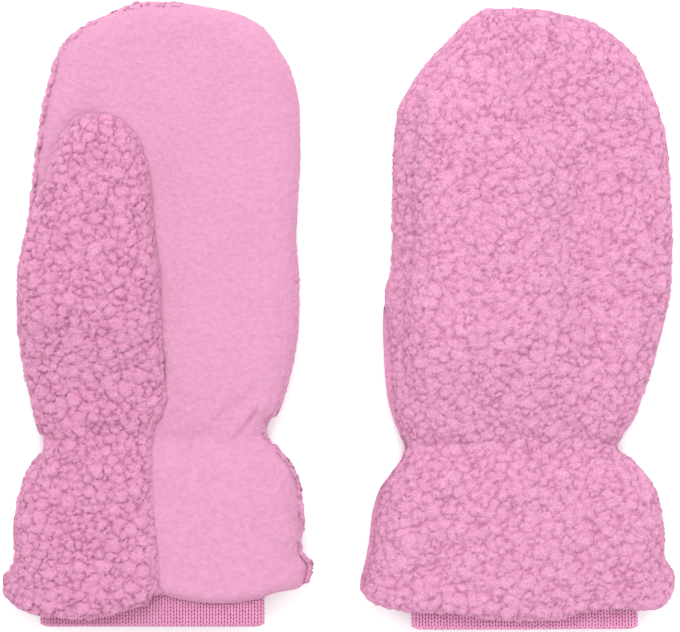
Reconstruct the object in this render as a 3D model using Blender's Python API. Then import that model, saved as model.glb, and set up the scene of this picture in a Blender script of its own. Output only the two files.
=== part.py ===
"""A pair of child's mittens lying flat: the left one palm up, the right one back up.

Each mitten is cut and sewn from five pieces: a curly fleece back, a smooth fleece palm, a
curly thumb front that runs on down to the hem, a smooth thumb back, and a ribbed knit cuff
inside the flared hem. Each piece is one closed wall: an outer surface, a plain inner
surface inside it, and the rims that join the two.

Both mittens have their thumb at -X and their fingertips at +Y. A mitten is laid out in
millimetres in its own plan: x across, y up from the wrist, z up from the table. The
origin is under the middle of the pair.
"""
import math
from collections import namedtuple

import bmesh
import bpy
import numpy as np

MM = 0.001

# The cloth
CURLY_WALL = 4.5      # curly fleece, from its backing to the tips of its curls
SMOOTH_WALL = 2.1     # brushed fleece
GAP = 0.3             # left between pieces that meet at a seam or lie on each other
SEAM_ROUND = 9.0      # how far in from its edge a panel is rounded by its filling
THUMB_ROUND = 8.0     # the same on the narrower thumb
BUTT_ROUND = 4.0      # how far the curly front is rounded beside its seam with the palm
BUTT_RIM = 1.8        # height of the curly front's cut edge at that seam
GROOVE_DEPTH = 1.2    # how far the smooth palm dips beside that seam
GROOVE_ROUND = 3.0
HEM_ROUND = 2.5       # the turned hem's fold
HEM_DROP = 1.5
PEEK = 1.0            # how far the curly back shows past the smooth palm
BACK_SHORT = 1.5      # how much shorter the back's hem is, palm up

# The ribbed cuff
WALES = 76            # ribs all round the cuff
WALE_HEIGHT = 0.45
KNIT_WALL = 1.15      # knit between the ribs
CUFF_THICKNESS = 4.2  # the flattened tube, outside to outside

# The curly thumb front rises from the palm on to the thumb between these levels
THUMB_RIGHT_RISE = (6.0, 24.0)
THUMB_TOP_RISE = (8.0, 40.0)
PALM_CUT_INSET = 12.0              # how far inside the outline the palm's cut edge turns up
INSET_ROOM = 0.8                   # most of a row's width that a wall's two rims take up
THUMB_BACK_CUT = (33.0, 52.0)      # the thumb back's lower end: at its right, at its left

# Grid of a panel
BACK_COLUMNS = 16
PALM_COLUMNS = 15
THUMB_COLUMNS = 11
THUMB_BACK_ROWS = 12
THUMB_TIP_ROWS = 4    # levels at the thumb's tip that every one of its pieces has
THUMB_ROOT = 43.0     # the thumb has its own levels above this
THUMB_MERGE = 3.0     # least distance between the mitten's levels and the thumb's
CUT_ROWS = 4          # rows for each one of the outline's where the palm is cut
FINE_LEVEL = 74.0     # above this the outline turns over the fingertips, in twice the rows

Edge = namedtuple("Edge", "y left right")            # outline of a piece, level by level
Hem = namedtuple("Hem", "across y")                  # hem level, by fraction of the width
Height = namedtuple("Height", "y seam ceiling")      # side seam and hollow's top, over the base
Section = namedtuple("Section", "y middle width")    # the ribbed tube, level by level
Show = namedtuple("Show", "y past")
Fold = namedtuple("Fold", "x y turn length width depth")
Finish = namedtuple("Finish", "colour roughness")
Plan = namedtuple("Plan", "x level y from_hem")      # a grid of points seen from above
Cut = namedtuple("Cut", "seam inset side thumb")     # levels of the palm's cut at the thumb
Layout = namedtuple("Layout", "name centre outline hem heights thumb cut cuff folds palm_up")

CURLY = Finish((0.76, 0.34, 0.55, 1.0), 0.95)
SMOOTH = Finish((0.86, 0.40, 0.61, 1.0), 0.90)
KNIT = Finish((0.68, 0.27, 0.46, 1.0), 0.85)

PALM_UP_OUTLINE = (
    Edge(-40.0, -41.2, 41.6),
    Edge(-37.5, -41.2, 42.5),
    Edge(-35.0, -39.7, 42.7),
    Edge(-32.8, -38.5, 41.0),
    Edge(-30.4, -38.1, 39.6),
    Edge(-24.0, -38.4, 40.3),
    Edge(-16.0, -37.2, 39.8),
    Edge(-10.5, -35.6, 38.6),
    Edge(-6.0, -33.2, 36.2),
    Edge(-2.5, -30.3, 33.3),
    Edge(0.0, -30.2, 30.8),
    Edge(3.0, -32.0, 29.8),
    Edge(7.5, -33.1, 33.4),
    Edge(14.0, -34.6, 35.6),
    Edge(22.0, -36.2, 37.6),
    Edge(32.0, -37.3, 38.8),
    Edge(43.0, -37.3, 38.9),
    Edge(54.0, -35.5, 38.1),
    Edge(66.0, -34.0, 38.6),
    Edge(78.0, -32.6, 39.2),
    Edge(90.0, -30.8, 38.9),
    Edge(99.5, -28.4, 36.8),
    Edge(106.0, -25.9, 33.3),
    Edge(111.5, -20.2, 29.2),
    Edge(115.2, -13.2, 22.4),
    Edge(117.4, -7.6, 12.2),
    Edge(118.4, -4.4, 3.2),
)
BACK_UP_OUTLINE = (
    Edge(-37.8, -41.1, 44.3),
    Edge(-34.8, -40.8, 44.4),
    Edge(-31.5, -39.9, 42.8),
    Edge(-28.8, -39.3, 41.5),
    Edge(-25.0, -38.6, 41.6),
    Edge(-18.0, -37.8, 40.9),
    Edge(-11.5, -35.9, 39.2),
    Edge(-7.0, -32.8, 36.4),
    Edge(-3.0, -29.9, 32.4),
    Edge(0.0, -28.9, 28.8),
    Edge(3.0, -30.0, 30.2),
    Edge(7.5, -31.9, 33.2),
    Edge(14.0, -33.6, 35.7),
    Edge(22.0, -34.4, 38.4),
    Edge(33.0, -34.8, 41.2),
    Edge(42.5, -34.1, 43.2),
    Edge(50.0, -32.6, 43.6),
    Edge(58.0, -32.2, 43.7),
    Edge(68.0, -32.3, 43.3),
    Edge(80.0, -32.0, 42.5),
    Edge(90.0, -31.0, 40.5),
    Edge(98.5, -27.0, 37.4),
    Edge(105.5, -21.8, 34.0),
    Edge(111.5, -15.9, 28.0),
    Edge(115.3, -12.3, 21.6),
    Edge(117.8, -9.0, 12.6),
    Edge(118.8, -6.2, 5.6),
)
PALM_UP_HEM = (
    Hem(0.00, -41.4), Hem(0.04, -44.2), Hem(0.08, -45.7), Hem(0.12, -47.0), Hem(0.20, -47.4),
    Hem(0.28, -47.7), Hem(0.33, -47.2), Hem(0.38, -46.2), Hem(0.43, -44.8), Hem(0.47, -43.9),
    Hem(0.505, -40.8), Hem(0.56, -42.0), Hem(0.61, -42.8), Hem(0.72, -43.5), Hem(0.80, -42.8),
    Hem(0.84, -42.2), Hem(0.885, -40.8), Hem(0.97, -39.5), Hem(1.00, -38.0),
)
BACK_UP_HEM = (
    Hem(0.00, -38.4), Hem(0.035, -41.3), Hem(0.08, -42.4), Hem(0.17, -43.8), Hem(0.28, -43.9),
    Hem(0.35, -45.0), Hem(0.41, -45.9), Hem(0.52, -46.0), Hem(0.63, -45.9), Hem(0.70, -43.9),
    Hem(0.80, -43.1), Hem(0.90, -43.4), Hem(0.945, -43.3), Hem(0.98, -40.6), Hem(1.00, -38.2),
)
PALM_UP_HEIGHTS = (
    Height(-40.0, 6.3, 9.5), Height(-7.5, 6.2, 9.4), Height(0.0, 4.9, 6.7),
    Height(10.0, 5.3, 7.2), Height(40.0, 5.6, 7.5), Height(118.4, 5.5, 7.3),
)
BACK_UP_HEIGHTS = (
    Height(-40.0, 3.7, 7.2), Height(-7.5, 3.6, 7.1), Height(0.0, 3.0, 4.4),
    Height(10.0, 3.4, 4.9), Height(40.0, 3.6, 5.1), Height(119.0, 3.6, 4.9),
)
THUMB_OUTLINE = (
    Edge(-40.0, -41.6, 1.4),
    Edge(-33.0, -38.7, 1.0),
    Edge(-27.0, -38.2, 0.5),
    Edge(-21.5, -37.9, 0.0),
    Edge(-14.0, -37.0, -0.7),
    Edge(-3.0, -30.2, -0.9),
    Edge(2.5, -31.0, -0.5),
    Edge(7.0, -33.0, 2.1),
    Edge(11.0, -33.9, 3.0),
    Edge(18.0, -35.4, 2.5),
    Edge(27.0, -36.8, 2.1),
    Edge(38.0, -37.2, 1.6),
    Edge(44.0, -37.1, 1.5),
    Edge(49.0, -36.8, 0.9),
    Edge(55.5, -35.0, 0.0),
    Edge(60.0, -33.2, -0.6),
    Edge(67.5, -30.5, -0.9),
    Edge(75.6, -28.2, -2.4),
    Edge(81.5, -25.3, -4.7),
    Edge(84.8, -23.2, -7.4),
    Edge(87.0, -20.8, -10.8),
    Edge(87.8, -18.5, -13.5),
)
PALM_UP_CUFF = (
    Section(-10.5, -0.5, 47.5), Section(-42.0, -0.8, 60.3), Section(-49.5, -0.8, 60.5),
    Section(-50.4, -0.8, 58.9),
)
BACK_UP_CUFF = (
    Section(-10.5, 1.0, 47.5), Section(-40.0, 3.4, 61.0), Section(-48.1, 3.6, 61.3),
    Section(-49.0, 3.6, 59.7),
)

# The largest creases, most of them where the wrist is drawn in
PALM_UP_FOLDS = (
    Fold(23.0, 9.5, 42.0, 9.0, 2.2, 0.9),
    Fold(16.5, 3.0, 28.0, 8.0, 1.8, 0.7),
    Fold(24.0, -6.5, -38.0, 8.0, 2.2, 0.8),
    Fold(10.0, -5.0, -70.0, 7.0, 1.8, 0.6),
    Fold(5.0, 6.0, 80.0, 7.0, 1.8, 0.5),
    Fold(-20.0, 4.0, -20.0, 8.0, 2.0, 0.9),
    Fold(-10.0, -7.0, 75.0, 7.0, 1.8, 0.7),
    Fold(-24.0, -8.0, 40.0, 8.0, 2.2, 0.8),
)
BACK_UP_FOLDS = (
    Fold(-22.0, 0.5, 8.0, 9.0, 2.0, 1.4),
    Fold(-12.0, -5.0, -62.0, 8.0, 2.0, 0.8),
    Fold(0.0, 5.0, 82.0, 8.0, 2.0, 0.7),
    Fold(9.0, -5.0, 68.0, 8.0, 2.0, 0.8),
    Fold(18.0, 4.0, -35.0, 8.0, 2.0, 0.9),
    Fold(23.0, -5.0, -40.0, 8.0, 2.2, 0.9),
)
INNER_PRESS = 0.2         # how much of a crease's depth reaches the wall's inner surface
WRIST_DIP = 0.9           # a shallow trough across the drawn-in wrist
WRIST_DIP_WIDTH = 3.2

PALM_UP = Layout("left", (-49.9, -33.2), PALM_UP_OUTLINE, PALM_UP_HEM, PALM_UP_HEIGHTS,
                 THUMB_OUTLINE, Cut(22.0, 29.0, 33.5, (27.0, 32.5)), PALM_UP_CUFF, PALM_UP_FOLDS, True)
BACK_UP = Layout("right", (46.4, -35.4), BACK_UP_OUTLINE, BACK_UP_HEM, BACK_UP_HEIGHTS,
                 THUMB_OUTLINE, Cut(22.0, 42.0, 50.0, (38.0, 46.0)), BACK_UP_CUFF, BACK_UP_FOLDS, False)

# Palm up, the thumb lies on the palm; its side seam droops where the mitten's side does
THUMB_SEAM = 10.8
THUMB_SIDE_SEAM = 9.6
THUMB_SIDE = (52.0, 72.0)
THUMB_TOP = 17.8
THUMB_HOLLOW_TOP = 13.3
THUMB_RIM = 12.3              # inner edge of the curly front, clear of the thumb's back

# Back up, the thumb is underneath and the mitten is draped over it
TUCK = 8.5                    # how far inside the outline the thumb is tucked
TUCKED_SEAM = 4.9
TUCKED_TOP = 7.4              # top of the tucked thumb
TUCKED_LIFT = 8.1             # height of the palm that lies on it
FRONT_LIFT = CURLY_WALL - SMOOTH_WALL
DRAPE = 21.0                  # how far the cloth takes to come down to the table
DRAPE_TIP = 24.0
DRAPE_SIDE = 5.5              # the cloth rises over the thumb from this far inside its edge
DRAPE_BASE = (2.0, 34.0)      # levels between which it rises on to the thumb's root
PALM_SHOWS = (                # how far the palm side shows past the back, at the left
    Show(-38.0, 1.2), Show(-20.0, 1.4), Show(0.0, 0.5), Show(10.0, 1.6), Show(30.0, 2.2),
    Show(38.0, 1.8), Show(45.0, 0.0), Show(119.0, 0.0),
)


def smooth_through(xs, ys):
    """A monotone cubic curve through the points, held level past both ends."""
    order = np.argsort(xs)
    xs, ys = np.array(xs, float)[order], np.array(ys, float)[order]
    step = np.diff(xs)
    slope = np.diff(ys) / step
    tangent = np.zeros(len(xs))
    for i in range(1, len(xs) - 1):
        if slope[i - 1] * slope[i] > 0:
            before = 2 * step[i] + step[i - 1]
            after = step[i] + 2 * step[i - 1]
            tangent[i] = (before + after) / (before / slope[i - 1] + after / slope[i])
    tangent[0], tangent[-1] = slope[0], slope[-1]

    def curve(x):
        x = np.clip(x, xs[0], xs[-1])
        i = np.clip(np.searchsorted(xs, x) - 1, 0, len(step) - 1)
        t = (x - xs[i]) / step[i]
        return ((1 + 2 * t) * (1 - t) ** 2 * ys[i] + t * (1 - t) ** 2 * step[i] * tangent[i]
                + t * t * (3 - 2 * t) * ys[i + 1] + t * t * (t - 1) * step[i] * tangent[i + 1])
    return curve


def column(table, key, name):
    return smooth_through([getattr(row, key) for row in table],
                          [getattr(row, name) for row in table])


def rise(value, levels):
    """0 below the first level, 1 above the second, smooth between them."""
    t = np.clip((value - levels[0]) / (levels[1] - levels[0]), 0.0, 1.0)
    return t * t * (3 - 2 * t)


def blend(a, b, share):
    return a + (b - a) * share


def crown(distance):
    """Height of a rounded edge, 0 at the edge and 1 from a distance of 1 inwards."""
    inside = 1 - np.clip(distance, 0.0, 1.0)
    return np.sqrt(1 - inside * inside)


def outline_side(table, side):
    """An outline's left or right edge by level; it turns over smoothly at the tip."""
    tip = table[-1].y
    curve = smooth_through([-math.sqrt(tip - row.y) for row in table],
                           [getattr(row, side) for row in table])
    return lambda y: curve(-np.sqrt(np.maximum(tip - y, 0.0)))


def distance_to(x, y, line):
    """Distance in plan from each grid point to a line of points."""
    start, end = line[:-1], line[1:]
    along = end - start
    length = np.maximum((along ** 2).sum(1), 1e-9)
    offset = np.stack([x, y], -1)[..., None, :] - start
    share = np.clip((offset * along).sum(-1) / length, 0.0, 1.0)
    return np.sqrt(((offset - share[..., None] * along) ** 2).sum(-1)).min(-1)


def creased(layout, x, y):
    """How deep the creases and the drawn-in wrist press into the cloth."""
    depth = WRIST_DIP * np.exp(-(y / WRIST_DIP_WIDTH) ** 2)
    for fold in layout.folds:
        turn = math.radians(fold.turn)
        along = (x - fold.x) * math.cos(turn) + (y - fold.y) * math.sin(turn)
        across = (y - fold.y) * math.cos(turn) - (x - fold.x) * math.sin(turn)
        reach = (along / fold.length) ** 2 + (across / fold.width) ** 2
        depth = depth + fold.depth * np.exp(-reach)
    return depth


class Mitten:
    """One mitten's plan and the heights of its layers, worked out from its tables."""

    def __init__(self, layout):
        self.layout = layout
        self.left = outline_side(layout.outline, "left")
        self.right = outline_side(layout.outline, "right")
        self.thumb_left = self.tucked(outline_side(layout.thumb, "left"))
        self.thumb_right = outline_side(layout.thumb, "right")
        self.seam = column(layout.heights, "y", "seam")
        self.ceiling = column(layout.heights, "y", "ceiling")
        self.hem = column(layout.hem, "across", "y")
        self.hem_level = layout.outline[0].y
        self.thumb_tip = layout.thumb[-1].y
        self.levels = self.rows([row.y for row in layout.outline])
        self.outline = self.plan_line(self.left, self.right, self.levels)

    def rows(self, table_levels):
        """A panel's levels: its outline's, with more between them at the tip and where
        the palm is cut."""
        cut = self.layout.cut
        levels = [table_levels[-1]]
        for low, high in zip(table_levels, table_levels[1:]):
            fine = low > FINE_LEVEL or (low < cut.side and cut.inset < high)
            parts = CUT_ROWS if fine and low < FINE_LEVEL else 1 + fine
            levels += [low + (high - low) * part / parts for part in range(parts)]
        return np.array(sorted(levels))

    def tucked(self, thumb_left):
        """The thumb's left edge: the mitten's own below it, and tucked in if it is under."""
        tuck = 0.0 if self.layout.palm_up else TUCK

        def edge(y):
            inside = rise(y, self.layout.cut.thumb)
            free = np.maximum(thumb_left(y), self.left(y) + tuck)
            return blend(self.left(y), free, inside)
        return edge

    def plan_line(self, left, right, levels):
        """A piece's outline in plan, up its left edge, over its tip and down its right."""
        fine = np.interp(np.linspace(0, len(levels) - 1, 4 * len(levels)),
                         range(len(levels)), levels)
        up = np.stack([left(fine), fine], -1)
        down = np.stack([right(fine), fine], -1)[::-1]
        return np.concatenate([up, down])

    def base(self, x, y):
        """Height of the cloth's underside: 0, or draped over the thumb under it."""
        if self.layout.palm_up:
            return np.zeros_like(x)
        edge = self.thumb_right(np.minimum(y, self.thumb_tip))
        beside = 1 - rise(x, (edge, edge + DRAPE))
        over_tip = 1 - rise(y, (self.thumb_tip - 2.0, self.thumb_tip + DRAPE_TIP))
        over_side = crown((x - self.left(y) - DRAPE_SIDE) / THUMB_ROUND)
        lifted = beside * over_tip * over_side * rise(y, DRAPE_BASE)
        return blend(FRONT_LIFT * beside * over_tip, TUCKED_LIFT, lifted)

    def seam_level(self, x, y):
        """Level of the seam between palm and back at the side that a point is nearer."""
        left, right = self.left(y), self.right(y)
        sides = blend(self.base(left, y), self.base(right, y), rise(x, (left, right)))
        return sides + self.seam(y)

    def grid(self, left, right, levels, columns, inset=(0.0, 0.0), tip_inset=0.0, short=0.0):
        """Points in plan, closer together towards the edges, with the hem's own line."""
        share = 0.5 - 0.5 * np.cos(np.pi * np.arange(columns) / (columns - 1))
        level = np.array(levels)[:, None] * np.ones(columns)
        start, end = left(level), right(level)
        room = INSET_ROOM * (end - start) / np.maximum(inset[0] + inset[1], 1.0)
        room = np.minimum(room, 1.0)
        start, end = start + inset[0] * room, end - inset[1] * room
        x = start + (end - start) * share
        width = self.right(level) - self.left(level)
        across = np.clip((x - self.left(level)) / width, 0.0, 1.0)
        hem = self.hem(across) + short
        top = levels[-1]
        level = np.where(level < 0, level, level * (top - tip_inset) / top)
        y = np.where(level < 0, level * hem / self.hem_level, level)
        return Plan(x, level, y, np.maximum(y - hem, 0.0))


def turned_hem(from_hem):
    return HEM_DROP * (1 - crown(from_hem / HEM_ROUND))


def loft(outer, inner):
    """A closed wall between two grids of points, rims included."""
    mesh = bmesh.new()
    rows, columns = outer.shape[:2]
    sheets = [[[mesh.verts.new(point * MM) for point in row] for row in sheet]
              for sheet in (outer, inner)]
    for sheet in sheets:
        for r in range(rows - 1):
            for c in range(columns - 1):
                mesh.faces.new((sheet[r][c], sheet[r][c + 1], sheet[r + 1][c + 1],
                                sheet[r + 1][c]))
    border = [(0, c) for c in range(columns - 1)]
    border += [(r, columns - 1) for r in range(rows - 1)]
    border += [(rows - 1, c) for c in range(columns - 1, 0, -1)]
    border += [(r, 0) for r in range(rows - 1, 0, -1)]
    for (r, c), (r2, c2) in zip(border, border[1:] + border[:1]):
        mesh.faces.new((sheets[0][r][c], sheets[1][r][c], sheets[1][r2][c2],
                        sheets[0][r2][c2]))
    return mesh


def tube(outer, inner):
    """A closed wall between two stacks of rings, open from end to end."""
    mesh = bmesh.new()
    count = outer.shape[1]
    stacks = [[[mesh.verts.new(point * MM) for point in ring] for ring in stack]
              for stack in (outer, inner)]
    for stack in stacks:
        for ring, above in zip(stack, stack[1:]):
            for i in range(count):
                j = (i + 1) % count
                mesh.faces.new((ring[i], ring[j], above[j], above[i]))
    for end in (0, -1):
        for i in range(count):
            j = (i + 1) % count
            mesh.faces.new((stacks[0][end][i], stacks[0][end][j], stacks[1][end][j],
                            stacks[1][end][i]))
    return mesh


def add_piece(name, mesh, mitten, finish):
    """A mesh made an object of its own, with its material, at its mitten's place."""
    bmesh.ops.recalc_face_normals(mesh, faces=mesh.faces)
    if mesh.calc_volume(signed=True) < 0:
        bmesh.ops.reverse_faces(mesh, faces=mesh.faces)
    data = bpy.data.meshes.new(name)
    mesh.to_mesh(data)
    mesh.free()
    data.shade_smooth()
    data.set_sharp_from_angle(angle=math.radians(50))
    piece = bpy.data.objects.new(name, data)
    piece.location = (mitten.layout.centre[0] * MM, mitten.layout.centre[1] * MM, 0.0)
    material = bpy.data.materials.new(name)
    material.use_nodes = True
    shader = material.node_tree.nodes["Principled BSDF"]
    shader.inputs["Base Color"].default_value = finish.colour
    shader.inputs["Roughness"].default_value = finish.roughness
    data.materials.append(material)
    bpy.data.collections["baby_mittens"].objects.link(piece)


def shell(mitten, outer_plan, inner_plan, distances, heights, outward):
    """A panel's wall: both surfaces leave the edge's level and are rounded off inwards.

    distances gives the two surfaces' shares of the rounding, heights the edge's level and
    the two surfaces' levels away from it, and outward is 1 for a panel that faces up. One
    that faces down lies on the table, so it has no creases.
    """
    surfaces = []
    for plan, share, (edge, middle), outside in zip(
            (outer_plan, inner_plan), distances, heights, (True, False)):
        press = creased(mitten.layout, plan.x, plan.level) * (1.0 if outside else INNER_PRESS)
        if outward < 0:
            press = 0.0
        if outside:
            press = press + turned_hem(plan.from_hem)
        z = edge + (middle - edge - outward * press) * crown(share)
        surfaces.append(np.stack([plan.x, plan.y, z], -1))
    return loft(*surfaces)


def back_panel(mitten):
    """The curly back, from the hem to the fingertips."""
    palm_up = mitten.layout.palm_up
    shows = column(PALM_SHOWS, "y", "past")

    def left(y):
        return mitten.left(y) + (0.0 if palm_up else shows(y))
    short = BACK_SHORT if palm_up else 0.0
    wall = CURLY_WALL
    lines = (mitten.plan_line(left, mitten.right, mitten.levels), mitten.outline)
    plans = (mitten.grid(left, mitten.right, mitten.levels, BACK_COLUMNS, short=short),
             mitten.grid(mitten.left, mitten.right, mitten.levels, BACK_COLUMNS,
                         (wall, wall), wall, short))
    shares, heights = [], []
    for plan, depth, line in zip(plans, (0.0, wall), lines):
        far = distance_to(plan.x, plan.level, line)
        shares.append((far - depth) / (SEAM_ROUND - depth))
        base = mitten.base(plan.x, plan.level)
        edge = mitten.seam_level(plan.x, plan.level)
        if palm_up:
            heights.append((edge, depth + base))
        else:
            heights.append((edge + GAP, base + mitten.ceiling(plan.level) + wall - depth))
    mesh = shell(mitten, *plans, shares, heights, -1.0 if palm_up else 1.0)
    add_piece(mitten.layout.name + "_back_panel", mesh, mitten, CURLY)


def palm_plan(mitten, peek):
    """The smooth palm's left edge: the seam beside the curly front, then the cut across
    the root of the thumb, then the mitten's own edge."""
    cut = mitten.layout.cut

    def left(y):
        seam = mitten.thumb_right(y) + GAP
        edge = mitten.left(y) + peek + PALM_CUT_INSET * (1 - rise(y, (cut.inset, cut.side)))
        return blend(seam, edge, rise(y, (cut.seam, cut.inset)))
    return left


def palm_panel(mitten):
    """The smooth palm, behind the thumb above its root and beside the curly front below."""
    palm_up = mitten.layout.palm_up
    peek = PEEK if palm_up else 0.0
    left = palm_plan(mitten, peek)
    wall = SMOOTH_WALL

    def side(y):
        return mitten.left(y) + peek

    def right(y):
        return mitten.right(y) - peek
    side_line = mitten.plan_line(side, right, mitten.levels)
    low = mitten.levels[mitten.levels <= mitten.layout.cut.inset]
    seam_line = np.stack([left(low), low], -1)
    sides = rise(mitten.levels, (mitten.layout.cut.inset, mitten.layout.cut.side))[:, None]
    plans = (mitten.grid(left, right, mitten.levels, PALM_COLUMNS),
             mitten.grid(left, right, mitten.levels, PALM_COLUMNS, (wall * sides, wall), wall))
    shares, heights = [], []
    for plan, depth in zip(plans, (0.0, wall)):
        far = distance_to(plan.x, plan.level, side_line)
        shares.append((far - depth) / (SEAM_ROUND - depth))
        from_seam = distance_to(plan.x, plan.level, seam_line)
        groove = GROOVE_DEPTH * (1 - crown(from_seam / GROOVE_ROUND)) * (depth == 0.0)
        groove = groove * crown(plan.from_hem / HEM_ROUND)
        base = mitten.base(plan.x, plan.level)
        edge = mitten.seam_level(plan.x, plan.level)
        if palm_up:
            heights.append((edge + GAP, base + mitten.ceiling(plan.level) + wall - depth - groove))
        else:
            heights.append((edge, base + depth + groove))
    mesh = shell(mitten, *plans, shares, heights, 1.0 if palm_up else -1.0)
    add_piece(mitten.layout.name + "_palm_panel", mesh, mitten, SMOOTH)


def thumb_levels(mitten):
    """The mitten's own levels up to the root of the thumb, and the thumb's above it."""
    own = [row.y for row in mitten.layout.thumb if row.y > THUMB_ROOT]
    low = mitten.levels[mitten.levels < own[0] - THUMB_MERGE]
    return np.concatenate([low, own])


def thumb_front(mitten):
    """The curly front of the thumb, in one piece with the lower palm down to the hem."""
    palm_up = mitten.layout.palm_up
    levels = thumb_levels(mitten)
    wall = CURLY_WALL
    free = rise(levels, THUMB_RIGHT_RISE)[:, None]
    plans = (mitten.grid(mitten.thumb_left, mitten.thumb_right, levels, THUMB_COLUMNS),
             mitten.grid(mitten.thumb_left, mitten.thumb_right, levels, THUMB_COLUMNS,
                         (wall, wall * free), wall))
    left_line, right_line = thumb_lines(mitten, levels)
    shares, heights = [], []
    for plan, depth in zip(plans, (0.0, wall)):
        left_share = (distance_to(plan.x, plan.level, left_line) - depth) / (THUMB_ROUND - depth)
        right_round = blend(BUTT_ROUND, THUMB_ROUND - depth, free)
        right_far = distance_to(plan.x, plan.level, right_line) - depth * free
        shares.append(np.minimum(left_share, right_far / right_round))
        heights.append(thumb_front_heights(mitten, plan, BUTT_RIM * (1 - free), depth))
    mesh = shell(mitten, *plans, shares, heights, 1.0 if palm_up else -1.0)
    add_piece(mitten.layout.name + "_thumb_front", mesh, mitten, CURLY)


def thumb_lines(mitten, levels):
    """The thumb front's left edge, on over its tip, and its right edge, in plan."""
    fine = np.interp(np.linspace(0, len(levels) - 1, 4 * len(levels)),
                     range(len(levels)), levels)
    right = np.stack([mitten.thumb_right(fine), fine], -1)
    left = np.stack([mitten.thumb_left(fine), fine], -1)
    return np.concatenate([left, right[-1:]]), right


def thumb_seam(y):
    """Level of the thumb's own seam at its side and at its palm edge, palm up."""
    return blend(THUMB_SIDE_SEAM, THUMB_SEAM, rise(y, THUMB_SIDE)), THUMB_SEAM


def thumb_front_heights(mitten, plan, rim, depth):
    """Level of the curly front's edge, and of one of its surfaces away from the edge."""
    x, y = plan.x, plan.level
    across = rise(x, (mitten.thumb_left(y), mitten.thumb_right(y)))
    left_rise = rise(y, mitten.layout.cut.thumb)
    right_rise = rise(y, THUMB_RIGHT_RISE)
    outside = depth == 0.0
    seam = mitten.seam_level(x, y)
    if mitten.layout.palm_up:
        side, palm_side = thumb_seam(y) if outside else (THUMB_RIM, THUMB_RIM)
        left = blend(seam + GAP, side, left_rise)
        right = blend(mitten.ceiling(y) + rim * outside, palm_side, right_rise)
        low = mitten.ceiling(y) + CURLY_WALL - depth
        high = THUMB_TOP if outside else THUMB_HOLLOW_TOP
        return blend(left, right, across), blend(low, high, rise(y, THUMB_TOP_RISE))
    left = blend(seam, TUCKED_SEAM, left_rise)
    right = blend(CURLY_WALL - rim * outside, TUCKED_SEAM, right_rise)
    return blend(left, right, across), depth + 0 * x


def thumb_back(mitten):
    """The smooth back of the thumb, between the curly front and the palm."""
    palm_up = mitten.layout.palm_up
    wall = SMOOTH_WALL
    low, high = THUMB_BACK_CUT
    tip = [row.y for row in mitten.layout.thumb[-THUMB_TIP_ROWS:]]
    levels = np.concatenate([np.linspace(low, tip[0], THUMB_BACK_ROWS)[:-1], tip])

    def left(y):
        return blend(mitten.thumb_right(y) - THUMB_ROUND, mitten.thumb_left(y),
                     rise(y, (low, high)))
    plans = (mitten.grid(left, mitten.thumb_right, levels, THUMB_COLUMNS),
             mitten.grid(left, mitten.thumb_right, levels, THUMB_COLUMNS, (wall, wall), wall))
    line = np.concatenate(thumb_lines(mitten, np.linspace(low - THUMB_ROUND, tip[-1], 20)))
    shares, heights = [], []
    for plan, depth in zip(plans, (0.0, wall)):
        far = distance_to(plan.x, plan.level, line)
        shares.append((far - depth) / (THUMB_ROUND - depth))
        if palm_up:
            across = rise(plan.x, (mitten.thumb_left(plan.level), mitten.thumb_right(plan.level)))
            edge = blend(*thumb_seam(plan.level), across) - GAP
            heights.append((edge, mitten.ceiling(plan.level) + wall + GAP + depth))
        else:
            edge = TUCKED_SEAM + GAP + 0 * plan.x
            heights.append((edge, TUCKED_TOP - depth + 0 * plan.x))
    surfaces = [np.stack([plan.x, plan.y, edge + (middle - edge) * crown(share)], -1)
                for plan, share, (edge, middle) in zip(plans, shares, heights)]
    add_piece(mitten.layout.name + "_thumb_back", loft(*surfaces), mitten, SMOOTH)


def rib_cuff(mitten):
    """The ribbed tube inside the flared cuff, with a rib to every second point."""
    count = 2 * WALES
    raised = np.where(np.arange(count) % 2 == 0, WALE_HEIGHT, 0.0)
    flat = CUFF_THICKNESS - 2 * WALE_HEIGHT
    rings = {"outer": [], "inner": []}
    for section in mitten.layout.cuff:
        straight = section.width - 2 * WALE_HEIGHT - flat
        x, z, across = flat_ring(count, straight, flat / 2)
        for name, push in (("outer", raised), ("inner", -KNIT_WALL)):
            ring_x = section.middle + x + push * across[0]
            middle = hollow_middle(mitten, section.middle + x, section.y + 0 * x)
            ring_z = middle + z + push * across[1]
            rings[name].append(np.stack([ring_x, section.y + 0 * x, ring_z], -1))
    mesh = tube(np.array(rings["outer"]), np.array(rings["inner"]))
    add_piece(mitten.layout.name + "_rib_cuff", mesh, mitten, KNIT)


def flat_ring(count, straight, radius):
    """Points evenly round a flattened ring, and the way outwards at each."""
    arc = math.pi * radius
    place = np.arange(count) / count * (2 * straight + 2 * arc)
    x, z, out_x, out_z = (np.zeros(count) for _ in range(4))
    for i, s in enumerate(place):
        side, s = (1, s) if s < straight + arc else (-1, s - straight - arc)
        if s < straight:
            x[i], z[i], out_z[i] = side * (s - straight / 2), side * radius, side
        else:
            turn = (s - straight) / radius
            out_x[i], out_z[i] = side * math.sin(turn), side * math.cos(turn)
            x[i] = side * straight / 2 + radius * out_x[i]
            z[i] = radius * out_z[i]
    return x, z, (out_x, out_z)


def hollow_middle(mitten, x, y):
    """Height of the middle of the hollow between the panels, away from their edges."""
    inside = np.maximum(y, mitten.hem_level)
    roof = mitten.base(x, inside) + mitten.ceiling(inside)
    if mitten.layout.palm_up:
        return (CURLY_WALL + roof) / 2
    floor = mitten.base(x, inside) + SMOOTH_WALL
    return (floor + roof) / 2


def clear_scene():
    for thing in list(bpy.data.objects):
        bpy.data.objects.remove(thing, do_unlink=True)


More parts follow.
